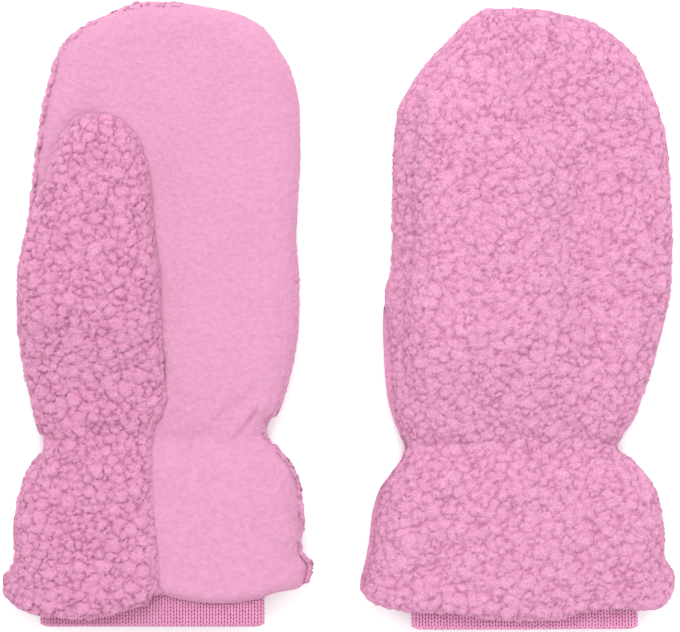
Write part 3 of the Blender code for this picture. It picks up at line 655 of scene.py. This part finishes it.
def wall_mesh(outer, coarse, row_at, column_at):
    """A closed body between a fine grid and a coarser one, at these places in it, under it."""
    fine = np.arange(outer.shape[0] * outer.shape[1]).reshape(outer.shape[:2])
    low = fine.size + np.arange(coarse.shape[0] * coarse.shape[1]).reshape(coarse.shape[:2])
    faces = grid_faces(fine) + grid_faces(low)

    def close(chain_of, coarse_line, places):
        for a, b, start, end in zip(coarse_line, coarse_line[1:], places, places[1:]):
            step = 1 if end > start else -1
            chain = [int(chain_of[k]) for k in range(start, end + step, step)]
            for p, q in zip(chain, chain[1:]):
                faces.append([int(a), p, q])
            faces.append([int(a), chain[-1], int(b)])
    close(fine[0], low[0], column_at)
    close(fine[:, -1], low[:, -1], row_at)
    close(fine[-1], low[-1][::-1], column_at[::-1])
    close(fine[:, 0], low[:, 0][::-1], row_at[::-1])
    return np.concatenate([outer.reshape(-1, 3), coarse.reshape(-1, 3)]), faces


class Wall:
    """A panel's wall as two grids of points, the outer one carried on over its rims.

    hem and side are the shares of the rim at which further rows and columns lie.
    """

    def __init__(self, panel, hem, side):
        self.level, share = even_grid(panel, panel.pitch * COARSE)
        self.outer = panel.surface(self.level, share, 0)
        self.inner = panel.surface(self.level, share, panel.wall)
        self.added = len(hem), len(side)
        count = self.outer.shape
        self.rows = np.pad(np.arange(count[0]), (len(hem), len(side)), "edge")
        self.columns = np.pad(np.arange(count[1]), len(side), "edge")
        row_share = np.r_[hem[::-1], np.zeros(count[0]), side]
        column_share = np.r_[side[::-1], np.zeros(count[1]), side]
        self.past = np.maximum(row_share[:, None], column_share[None, :])
        self.points = blend(self.spread(self.outer), self.spread(self.inner), self.past[..., None])
        self.points[:len(hem), :, 1] -= (np.sin(np.pi * hem[::-1]) * HEM_BULGE)[:, None]
        self.normals = grid_normals(self.points, panel.outward)

    def spread(self, values):
        """Values on the outer grid, carried on over the rims as they are at its edges."""
        return values[self.rows][:, self.columns]

    def edge_distances(self):
        """How far each point lies from the left, right and upper edges."""
        across = arc_length(self.outer)
        up = arc_length(self.outer[::-1].transpose(1, 0, 2)).T[::-1]
        return [self.spread(far) for far in (across, across[:, -1:] - across, up)]

    def coarse(self, share, step):
        """A coarser grid at a share of the wall's thickness, and its rows and columns."""
        places = []
        for count in self.outer.shape[:2]:
            places.append(np.array([*range(0, count - 1, step), count - 1]))
        return blend(self.inner, self.outer, share)[places[0]][:, places[1]], places

    def body(self, points, share, step):
        """A body with these points outside, and hidden ones at a share of the wall."""
        under, places = self.coarse(share, step)
        for place, added, line in zip(places, self.added, (self.rows, self.columns)):
            place += added
            place[0], place[-1] = 0, len(line) - 1
        return wall_mesh(points, under, *places)


def placed(name, data):
    """A new object in the scene."""
    thing = bpy.data.objects.new(name, data)
    bpy.context.scene.collection.objects.link(thing)
    return thing


def new_piece(mitten, name, body, node, material):
    """A piece of the scene in its mitten's place, which stands for a CAD node of the mitten."""
    side = mitten.layout.name + "_"
    data = bpy.data.meshes.new(side + name)
    vertices, faces = body
    centre = np.array([*mitten.layout.centre, 0])
    data.from_pydata(((vertices + centre) * MM).tolist(), [], faces)
    mesh = bmesh.new()
    mesh.from_mesh(data)
    bmesh.ops.recalc_face_normals(mesh, faces=mesh.faces)
    mesh.to_mesh(data)
    mesh.free()
    data.shade_smooth()
    data.materials.append(material)
    piece = placed(side + name, data)
    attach(piece, "root")
    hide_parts(side + node)
    return piece


def point_colours(piece, values):
    """Stores up to three values at each vertex, which the material reads."""
    colours = np.ones((len(piece.data.vertices), 4), np.float32)
    colours[:len(values), :3] = values
    store = piece.data.color_attributes.new("pile", "FLOAT_COLOR", "POINT")
    store.data.foreach_set("color", colours.ravel())


def curl_seeds(points, normals, curls, rng):
    """Curls packed over the surface, with smaller ones in the places left between them."""
    flat = points.reshape(-1, 3)
    wide = math.sqrt(curls.stretch)
    spread_out = flat * np.array([1 / wide, wide, 1])
    picks, sizes = [], []
    for size, tries in zip(FILL_SIZES, FILL_TRIES):
        picks.append(rng.permutation(len(flat))[:tries])
        vary = rng.uniform(1 - curls.spread, 1 + curls.spread, len(picks[-1]))
        sizes.append(curls.spacing * size * vary)
    picks, sizes = np.concatenate(picks), np.concatenate(sizes)
    kept, kept_size = np.empty((len(picks), 3)), np.empty(len(picks))
    index = []
    for candidate, size in zip(picks, sizes):
        place, count = spread_out[candidate], len(index)
        gap = ((kept[:count] - place) ** 2).sum(1)
        if not (gap < (0.5 * (kept_size[:count] + size)) ** 2).any():
            kept[count], kept_size[count] = place, size
            index.append(candidate)
    return flat[index], normals.reshape(-1, 3)[index], kept_size[:len(index)]


def curl_relief(points, normals, curls):
    """How far the curls stand out at each point, and the tone of the curl there.

    A curl is a dome, and of the domes round a point the highest one shows. All are a little
    out of shape, they run together here and there, and each is lumpy itself.
    """
    rng = np.random.default_rng(curls.seed)
    centres, facing, sizes = curl_seeds(points, normals, curls, rng)
    count = len(centres)
    turn = rng.normal(0, TURN_VARIES, count)
    along = np.stack([np.cos(turn), np.sin(turn), 0 * turn], -1)
    along -= (along * facing).sum(-1, keepdims=True) * facing
    along /= np.maximum(np.linalg.norm(along, axis=-1, keepdims=True), 1e-6)
    across = np.cross(facing, along)
    stretch = np.exp(rng.normal(math.log(curls.stretch) / 2, STRETCH_VARIES, count))
    reach = curls.dome * sizes
    top = curls.height * rng.uniform(*TOPS, count) * (sizes / curls.spacing) ** TOP_BY_SIZE
    tone = rng.random(count)
    way = rng.normal(TILT_WAY, TILT_VARIES, count)
    tilt = np.stack([np.cos(way), np.sin(way), 0 * way], -1)
    tilt *= (TILT * rng.uniform(0.4, 1, count))[:, None]
    tree = kdtree.KDTree(count)
    for i, centre in enumerate(centres):
        tree.insert(centre, i)
    tree.balance()
    flat = points.reshape(-1, 3)
    near = np.array([[found[1] for found in tree.find_n(p, NEIGHBOURS)] for p in flat.tolist()])
    warp = sum(WARP * np.stack([noise(flat, size, seed) for seed in seeds], -1)
               for size, seeds in WARP_NOISE)
    moved = (flat + warp)[:, None, :] - centres[near]
    q = sum(((moved * axis[near]).sum(-1) / far[near]) ** 2 for axis, far in (
        (along, reach * stretch), (across, reach / stretch), (facing, reach)))
    domes = np.sqrt(np.maximum(1 - DOME_FALL * q ** DOME_FLAT, 0.02)) - 0.1 * np.maximum(q - 1, 0)
    domes *= top[near]
    domes += ((moved * tilt[near]).sum(-1) / reach[near]).clip(-1, 1)
    own = near[np.arange(len(flat)), domes.argmax(1)]
    domes.sort(1)
    parted = domes[:, -1] - domes[:, -2]
    apart = rise(noise(flat, 1.5, 22), PARTING) + LEAST_APART
    relief = domes[:, -1] - curls.crevice * apart * np.exp(-parted / CREVICE_WIDTH)
    relief = np.maximum(relief, curls.level - curls.deepest)
    large, small = (LUMP * noise(flat, size, seed) for size, seed in LUMPS)
    relief += np.abs(large) - 0.06 + small
    shape = points.shape[:2]
    return relief.reshape(shape), tone[own].reshape(shape)


def curly_pieces(panel, curls, material, backing_material):
    """The knit backing of a curly panel, and the pile of curls on it."""
    hem = np.linspace(0, 1, 11)[1:]
    side = np.array(RIM_SHARES)
    wall = Wall(panel, hem, side)
    points = wall.points
    relief, tone = curl_relief(points, wall.normals, curls)
    # curls are lower at the seams, where their roots are hidden, and over the rims
    from_left, from_right, from_tip = wall.edge_distances()
    butt = wall.spread(panel.butt(wall.level))
    from_butt = blend(9, from_right, butt)
    edges = (from_left, blend(from_right, 99, butt), from_tip)
    inside = np.prod([rise(far, (0, fade)) for far, fade in zip(edges, panel.fades)], 0)
    flat = blend(BUTT_LOW, 1, rise(from_butt, (0, BUTT_FADE)))
    rim = np.clip(wall.past / side[-1], 0, 1)
    rim[:len(hem)] = (hem[::-1] ** 4)[:, None]
    lift = relief - curls.level
    shallow = panel.bumpy * np.maximum(lift, SHALLOWEST)
    if panel.bead and panel.palm_up:
        # the rim that shows past the palm is uneven, the more so beside the hand
        uneven = blend(*UNEVEN, rise(noise(points, 6, 41), (0.15, 0.7)))
        hand = rise(points[..., 0], HAND_SIDE[0]) * rise(points[..., 1], HAND_SIDE[1])
        shallow = shallow * blend(1.2, uneven, hand)
    lift = blend(shallow, lift, inside) * flat * (1 - rim) - RIM_SINK * rim
    points = points + wall.normals * lift[..., None]
    over_seam = butt * (1 - rise(from_butt, (0, BUTT_REACH)))
    points[..., 0] += BUTT_LEAN * over_seam
    points[..., 2] -= BUTT_SINK * over_seam * panel.outward
    if panel.palm_up:
        swell = panel.bead * np.sin(np.pi * np.clip(wall.past / BEAD_WIDTH, 0, 1))
        points[len(hem):, :, 2] += (swell * np.clip(0.8 + shallow, 0.6, 1.1))[len(hem):]
    points[..., 2] = np.maximum(points[..., 2], TABLE_GAP)
    pile = new_piece(panel.mitten, panel.name + "_curls", wall.body(points, PILE_ROOT, PILE_STEP),
                     panel.node, material)
    # painted shade: the lower a point lies between the curls, the darker its colour; edges keep a
    # middle shade
    height = np.clip(0.5 + 0.5 * (relief - curls.level) / (PAINTED_SHADE_RANGE * curls.height), 0, 1)
    height = blend(CURL_EDGE_PAINTED_SHADE, height, blend(EDGE_OWN, 1, inside) * flat)
    point_colours(pile, np.stack([height, tone, inside * flat], -1).reshape(-1, 3))
    upper, under = (wall.coarse(share, PILE_STEP)[0] for share in (BACKING, 0))
    steps = (np.arange(count) for count in upper.shape[:2])
    backing = new_piece(panel.mitten, panel.name + "_backing", wall_mesh(upper, under, *steps),
                        panel.node, backing_material)
    return backing, pile


def smooth_piece(panel, material):
    """A panel of brushed fleece, one soft wall."""
    wall = Wall(panel, np.array([0.25, 0.5, 0.75]), np.array([0.2]))
    points, from_left = wall.points, wall.edge_distances()[0]
    relief = np.abs(waves(points * PEBBLE_STRETCH, *PEBBLES))
    relief = relief + waves(points, *NAP) + waves(points, *WAVES) - NAP_MIDDLE
    beside = from_left - CREST_IN
    relief = relief + wall.spread(panel.crest(wall.level)) * np.exp(-beside ** 2)
    relief[wall.past > 0] *= 0.3
    points = points + wall.normals * relief[..., None]
    points[..., 2] = np.maximum(points[..., 2], TABLE_GAP)
    cloth = new_piece(panel.mitten, panel.name + "_cloth", wall.body(points, 0, SMOOTH_STEP),
                      panel.node, material)
    # painted shade: darker and deeper in colour towards the left edge, where the cloth turns in
    shade = blend(panel.turned_shade, 1, rise(from_left, TURNED_IN_PAINTED_SHADE))
    tint = np.stack([shade, shade ** 1.3, shade ** 1.1], -1)
    point_colours(cloth, tint.reshape(-1, 3))
    return [cloth]


# Materials, all worked out from noise in the part's own space

def linear(red, green, blue):
    """A colour on a screen, 0 to 255, as the light it stands for."""
    parts = [c / 255 for c in (red, green, blue)]
    return [c / 12.92 if c <= 0.04045 else ((c + 0.055) / 1.055) ** 2.4 for c in parts] + [1.0]


def grey(value):
    return (value, value, value, 1)


class Nodes:
    """A material's node tree, with short ways to add to it."""

    def __init__(self, name):
        self.material = bpy.data.materials.new(name)
        self.material.use_nodes = True
        self.tree = self.material.node_tree
        self.shader = self.tree.nodes["Principled BSDF"]
        self.place = self.add("ShaderNodeTexCoord")["Object"]

    def feed(self, node, values):
        """Sets a node's inputs to plain values, or links them to other nodes' outputs."""
        for name, value in values.items():
            if isinstance(value, (int, float, list, tuple)):
                node.inputs[name].default_value = value
            else:
                self.tree.links.new(value, node.inputs[name])

    def add(self, kind, values=None, **settings):
        """Adds a node and gives its outputs."""
        node = self.tree.nodes.new(kind)
        for key, value in settings.items():
            setattr(node, key, value)
        self.feed(node, values or {})
        return node.outputs

    def scaled(self, *sizes):
        """The place in space, in units of these sizes in millimetres."""
        scale = [1 / (size * MM) for size in sizes]
        return self.add("ShaderNodeMapping", {"Scale": scale, "Vector": self.place})["Vector"]

    def noise(self, size, detail=3, rough=0.5, stretch=(1, 1, 1)):
        """Noise whose lumps are about size millimetres across."""
        place = self.scaled(*(size * s for s in stretch))
        return self.add("ShaderNodeTexNoise", {"Scale": 1, "Detail": detail, "Roughness": rough,
                                               "Vector": place})["Fac"]

    def stored(self):
        """The values stored at the piece's vertices."""
        return self.add("ShaderNodeAttribute", attribute_name="pile")["Color"]

    def ramp(self, value, *stops):
        node = self.tree.nodes.new("ShaderNodeValToRGB")
        self.feed(node, {"Fac": value})
        ramp = node.color_ramp
        ramp.elements[0].position, ramp.elements[0].color = stops[0]
        ramp.elements[1].position, ramp.elements[1].color = stops[-1]
        for position, colour in stops[1:-1]:
            ramp.elements.new(position).color = colour
        return node.outputs["Color"]

    def math(self, operation, a, b):
        return self.add("ShaderNodeMath", {0: a, 1: b}, operation=operation)["Value"]

    def total(self, *parts):
        """The sum of values, each times its share."""
        whole, *others = [self.math("MULTIPLY", value, share) for value, share in parts]
        for other in others:
            whole = self.math("ADD", whole, other)
        return whole

    def multiply(self, share, a, b):
        """Colours multiplied, by this share of the way."""
        return self.add("ShaderNodeMix", {"Factor": share, "A": a, "B": b}, data_type="RGBA",
                        blend_type="MULTIPLY")["Result"]

    def bump(self, height, distance, strength, **normal):
        return self.add("ShaderNodeBump", {"Strength": strength, "Distance": distance * MM,
                                           "Height": height, **normal})["Normal"]

    def finish(self, colour, roughness, normal, sheen, tint):
        self.feed(self.shader, {
            "Base Color": colour, "Roughness": roughness, "Normal": normal,
            "Specular IOR Level": 0.12, "Sheen Weight": sheen, "Sheen Roughness": 0.55,
            "Sheen Tint": tint})
        return self.material


PINK_SHEEN = linear(255, 214, 234)
# Colours of the curls, from the painted shade deep between them to their pale tops
CURLY_PAINTED_SHADE_RAMP = {
    "back": ((182, 112, 150), (203, 134, 169), (209, 143, 178), (215, 152, 185)),
    "front": ((176, 105, 143), (197, 127, 162), (204, 136, 171), (210, 146, 179)),
}


def curly_material(side):
    """Curls, with painted shade: pale at their tops, darker between them where shade falls, each a
    little different.
    """
    n = Nodes("curly_fleece_" + side)
    parts = n.add("ShaderNodeSeparateColor", {"Color": n.stored()})
    height, tone = parts["Red"], n.math("SUBTRACT", parts["Green"], 0.5)
    fibre = n.noise(0.5, 4, 0.8)
    tuft = n.noise(0.95, 3, 0.6)
    place = n.scaled(0.95, 0.95, 0.95)
    cells = n.add("ShaderNodeTexVoronoi", {"Scale": 1, "Smoothness": 0.35, "Vector": place},
                  feature="SMOOTH_F1")
    lobes = n.math("SUBTRACT", 1, cells["Distance"])
    # painted shade: the stored height makes the colour darker low between the curls
    level = n.total((height, 1), (n.math("SUBTRACT", tuft, 0.5), 0.5), (tone, 0.08))
    shades = [linear(*shade) for shade in CURLY_PAINTED_SHADE_RAMP[side]]
    colour = n.ramp(level, *zip((0, 0.3, 0.6, 1), shades))
    speck = n.ramp(fibre, (0.36, (0.73, 0.67, 0.7, 1)), (0.5, grey(1)),
                   (0.64, (1.13, 1.22, 1.18, 1)))
    colour = n.multiply(0.9, colour, speck)
    roughness = n.ramp(fibre, (0.2, grey(0.95)), (0.8, grey(0.8)))
    normal = n.bump(fibre, 0.4, 0.9)
    normal = n.bump(lobes, 0.45, 0.6, Normal=normal)
    normal = n.bump(tuft, 0.5, 0.6, Normal=normal)
    return n.finish(colour, roughness, normal, 0.25, PINK_SHEEN)


def smooth_material():
    """Brushed fleece: an even pebbled nap, with painted shade stored at the vertices where it
    turns in at a seam.
    """
    n = Nodes("smooth_fleece")
    nap = n.noise(0.5, 4, 0.7)
    pebble = n.noise(1.2, 3, 0.6, (1.15, 0.95, 1))
    value = n.total((pebble, 0.6), (nap, 0.25), (n.noise(14, 2), 0.15))
    colour = n.ramp(value, (0.36, linear(185, 126, 156)), (0.5, linear(191, 133, 163)),
                    (0.64, linear(197, 140, 170)))
    # painted shade, stored at the vertices, darkens the turned-in edge
    colour = n.multiply(1, colour, n.stored())
    roughness = n.ramp(nap, (0, grey(0.97)), (1, grey(0.82)))
    normal = n.bump(pebble, 0.55, 0.6, Normal=n.bump(nap, 0.24, 0.7))
    return n.finish(colour, roughness, normal, 0.3, linear(255, 218, 236))


def knit_material(name, dark, light, yarn=(0.32, 3, 0.6, (0.7, 1.4, 1)), cloud=6,
                  sheer=0.8, depth=0.12):
    """Fine knit, with the yarn's twist along each stitch; cloud and depth are in millimetres."""
    n = Nodes(name)
    yarn = n.noise(*yarn)
    value = n.total((yarn, 0.7), (n.noise(cloud, 2), 0.3))
    colour = n.ramp(value, (0.3, linear(*dark)), (0.7, linear(*light)))
    roughness = n.ramp(yarn, (0, grey(0.95)), (1, grey(sheer)))
    return n.finish(colour, roughness, n.bump(yarn, depth, 0.6), 0.2, PINK_SHEEN)


# The ribbed cuff

RIB_SHOWS = 16  # how far up from its edge the cuff is knitted stitch by stitch
COURSE = 1  # height of a row of stitches
STITCH_ROWS = int(RIB_SHOWS / COURSE)
FIRST_ROW = 0.75  # middle of the lowest row above the cuff's edge
LEG_LENGTH = 1.5
LEG_WIDTH = 0.76
LEG_APART = 0.4  # from the middle of a wale to the middle of each of its legs
LEG_LEAN = 0.36  # how far a leg's two ends lie apart across the wale
LEG_THICK = 0.42  # half its thickness, as a share of its width
LEG_BOW = 0.12  # how far its ends go in behind its middle
LEG_OUT, LEG_SUNK = 0.55, 0.25  # how far it stands out, and how far it is sunk again
LIP_SUNK = 0.65  # how much more it is sunk at the cuff's edge
LEG_VARIES, ROW_VARIES = (0.93, 1.07), 0.03
LIP = 0.9  # the cuff's folded edge is rounded over this height
LIP_IN = 0.8
WALE_PITCH = 1.61


def ring_place(place, straight, radius):
    """Points round a flattened ring by the length along it, and the way out at each."""
    arc = math.pi * radius
    whole = 2 * (straight + arc)
    place = np.mod(place, whole)
    back = place >= straight + arc
    s = np.where(back, place - straight - arc, place)
    side = np.where(back, -1.0, 1.0)
    turn = np.clip((s - straight) / radius, 0.0, math.pi)
    on_straight = s < straight
    out_x = np.where(on_straight, 0.0, side * np.sin(turn))
    out_z = np.where(on_straight, side, side * np.cos(turn))
    x = np.where(on_straight, side * (s - straight / 2), side * straight / 2 + radius * out_x)
    z = np.where(on_straight, side * radius, radius * out_z)
    return x, z, out_x, out_z


def hollow_middle(mitten, x, y):
    """Height of the middle of the hollow between the panels, away from their edges."""
    inside = np.maximum(y, mitten.hem_level)
    base = mitten.base(x, inside)
    roof = base + mitten.ceiling(inside)
    return ((CURLY_WALL if mitten.palm_up else base + SMOOTH_WALL) + roof) / 2


def on_cuff(mitten, share, y, out):
    """Points on the cuff: share of the way round, level, and height over its plain tube."""
    cuff = mitten.layout.cuff
    levels = [s.y for s in cuff][::-1]
    middle = np.interp(y, levels, [s.middle for s in cuff][::-1])
    width = np.interp(y, levels, [s.width for s in cuff][::-1])
    flat = CUFF_THICKNESS - 2 * WALE_HEIGHT
    straight = width - 2 * WALE_HEIGHT - flat
    whole = 2 * straight + math.pi * flat
    x, z, out_x, out_z = ring_place(share * whole, straight, flat / 2)
    centre = hollow_middle(mitten, middle + x, y)
    return np.stack([middle + x + out * out_x, y + 0 * x, centre + z + out * out_z], -1)


def rib_pieces(mitten, material, painted_shade_ground):
    """The cuff's knitted tube, and its stitches where it shows below the hem."""
    top, edge = mitten.layout.cuff[0].y, mitten.layout.cuff[-1].y
    shows = edge + RIB_SHOWS
    around = WALES * 5
    share = np.arange(around) / around
    levels = np.concatenate([np.linspace(top, shows, 12)[:-1],
                             np.linspace(shows, edge + LIP, 12)[:-1],
                             edge + LIP * (1 - np.sin(np.linspace(0, math.pi / 2, 5)))])
    share, level = np.meshgrid(share, levels)
    ridge = WALE_HEIGHT * (0.5 + 0.5 * np.cos(2 * math.pi * WALES * share))
    sunk = rise(-level, (-shows, 2 - shows))
    lip = LIP_IN * (1 - crown((level - edge) / LIP))
    outer = on_cuff(mitten, share, level, ridge * blend(1, 0.3, sunk) - lip)
    inner = on_cuff(mitten, share, level, -KNIT_WALL + 0 * level)
    count = level.size
    ring = np.pad(np.arange(count).reshape(level.shape), ((0, 0), (0, 1)), "wrap")
    faces = grid_faces(ring) + grid_faces(ring + count)
    for end in (ring[0], ring[-1]):
        faces += grid_faces(np.stack([end, end + count]))
    body = np.concatenate([outer.reshape(-1, 3), inner.reshape(-1, 3)]), faces
    # the tube, seen between the stitches, carries painted shade
    tube = new_piece(mitten, "cuff_tube", body, "rib_cuff", painted_shade_ground)
    body = stitches(mitten, edge)
    knit = new_piece(mitten, "cuff_stitches", body, "rib_cuff", material)
    return tube, knit


def stitches(mitten, edge):
    """Two legs to a stitch, leaning apart upwards, in a column along each wale."""
    rng = np.random.default_rng(5)
    sides, rings = 5, 3
    along = np.linspace(-0.5, 0.5, rings + 2)
    girth = np.sqrt(np.maximum(1 - (2 * along) ** 2, 0)) ** 0.7
    turn = 2 * math.pi * np.arange(sides) / sides
    points = [(0, along[0], 0)]
    for a, g in zip(along[1:-1], girth[1:-1]):
        points += [(g * math.cos(t), a, g * math.sin(t)) for t in turn]
    points.append((0, along[-1], 0))
    shape = np.array(points)
    caps, bands = [], []
    for i in range(sides):
        j = (i + 1) % sides
        last = 1 + (rings - 1) * sides
        caps += [(0, 1 + j, 1 + i), (last + i, last + j, len(points) - 1)]
        bands += [(a + i, a + j, a + sides + j, a + sides + i) for a in range(1, last, sides)]
    wale, row, leg = np.meshgrid(np.arange(WALES), np.arange(STITCH_ROWS), (-1, 1), indexing="ij")
    wale, row, leg = (a.reshape(-1, 1).astype(float) for a in (wale, row, leg))
    size = rng.uniform(*LEG_VARIES, wale.shape)
    level = edge + FIRST_ROW + row * COURSE + rng.normal(0, ROW_VARIES, wale.shape)
    across = leg * (LEG_APART + LEG_LEAN * shape[:, 1]) + LEG_WIDTH / 2 * size * shape[:, 0]
    y = np.maximum(level + LEG_LENGTH * size * shape[:, 1], edge + 0.1)
    sunk = LEG_SUNK + LIP_SUNK * (1 - crown((y - edge) / LIP))
    out = LEG_WIDTH * LEG_THICK * shape[:, 2] - LEG_BOW * (2 * shape[:, 1]) ** 2 + LEG_OUT - sunk
    share = (wale + across / WALE_PITCH) / WALES
    vertices = on_cuff(mitten, share, y, out).reshape(-1, 3)
    base = len(points) * np.arange(len(wale))[:, None]
    return vertices, [face for kind in (caps, bands) for corners in kind
                      for face in (base + np.array(corners)).tolist()]


# The fields of a sheet's flat cut, and the order in which the sheets lie on the table, palm up
Sheet = namedtuple("Sheet", "width length area")
LAYERS = ("back", "palm", "thumb_back", "thumb_front")


def declare(layout, pieces):
    """Works out which of a mitten's sheets each one lies on, and uses it for nothing further."""
    layers = LAYERS if layout.palm_up else LAYERS[::-1]
    below = dict(zip(layers[1:], layers))
    below["cuff"] = "back" if layout.palm_up else "palm"
    for part, (sheet, *trim) in pieces.items():
        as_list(trim)


def build():
    backing = knit_material("curly_fleece_backing", (156, 92, 126), (178, 114, 148),
                            (0.5, 2, 0.5, (0.6, 1.6, 1)), 9, 0.85, 0.2)
    curly = {side: curly_material(side) for side in CURLY_PAINTED_SHADE_RAMP}
    smooth = smooth_material()
    # painted light: the right cuff's knit is coloured lighter than the left, to make up for the
    # shade of the hem that lies close over it
    knit = {"left": knit_material("rib_knit_left", (195, 126, 162), (213, 148, 182)),
            "right": knit_material("rib_knit_right_painted_light", (210, 138, 177), (228, 161, 198))}
    # painted shade: the tube, which shows only in the grooves between the stitches, is coloured
    # darker and deeper
    painted_shade_ground = knit_material("rib_knit_ground_painted_shade", (162, 94, 130), (188, 120, 155))
    for layout in (PALM_UP, BACK_UP):
        mitten = Mitten(layout)
        declare(layout, {
            "back": curly_pieces(BackPanel(mitten), BACK_CURLS, curly["back"], backing),
            "palm": smooth_piece(PalmPanel(mitten), smooth),
            "thumb_front": curly_pieces(ThumbFront(mitten), FRONT_CURLS, curly["front"], backing),
            "thumb_back": smooth_piece(ThumbBack(mitten), smooth),
            "cuff": rib_pieces(mitten, knit[layout.name], painted_shade_ground),
        })


def light_room():
    """A plain white table under even studio light, and the camera straight above."""
    mesh = bpy.data.meshes.new("floor")
    half, under = 1.2, -0.05 * MM
    mesh.from_pydata([(x, y, under) for x, y in ((-half, -half), (half, -half), (half, half),
                                                 (-half, half))], [], [(0, 1, 2, 3)])
    n = Nodes("floor")
    n.feed(n.shader, {"Base Color": grey(0.96), "Roughness": 0.9})
    mesh.materials.append(n.material)
    placed("floor", mesh)
    world = bpy.data.worlds.new("studio")
    world.use_nodes = True
    sky = world.node_tree.nodes["Background"].inputs
    sky["Color"].default_value, sky["Strength"].default_value = grey(1), 1.15
    bpy.context.scene.world = world
    for name, place, size, power in (("key", (-0.15, 0.95, 1), 0.8, 12),
                                     ("fill", (0.5, -0.4, 1.3), 1.2, 5)):
        lamp = bpy.data.lights.new(name, "AREA")
        lamp.energy, lamp.size = power, size
        light = placed(name, lamp)
        light.location = place
        light.rotation_euler = (-Vector(place)).to_track_quat("-Z", "Y").to_euler()
    view = bpy.data.cameras.new("camera")
    view.lens, view.sensor_width, view.sensor_fit = 200, 36, "HORIZONTAL"
    camera = placed("camera", view)
    seen = 183.6 * MM
    camera.location = (0, 0.27 * MM, 0.008 + seen * view.lens / view.sensor_width)
    bpy.context.scene.camera = camera
    bpy.context.scene.view_settings.view_transform = "Standard"


build()
light_room()
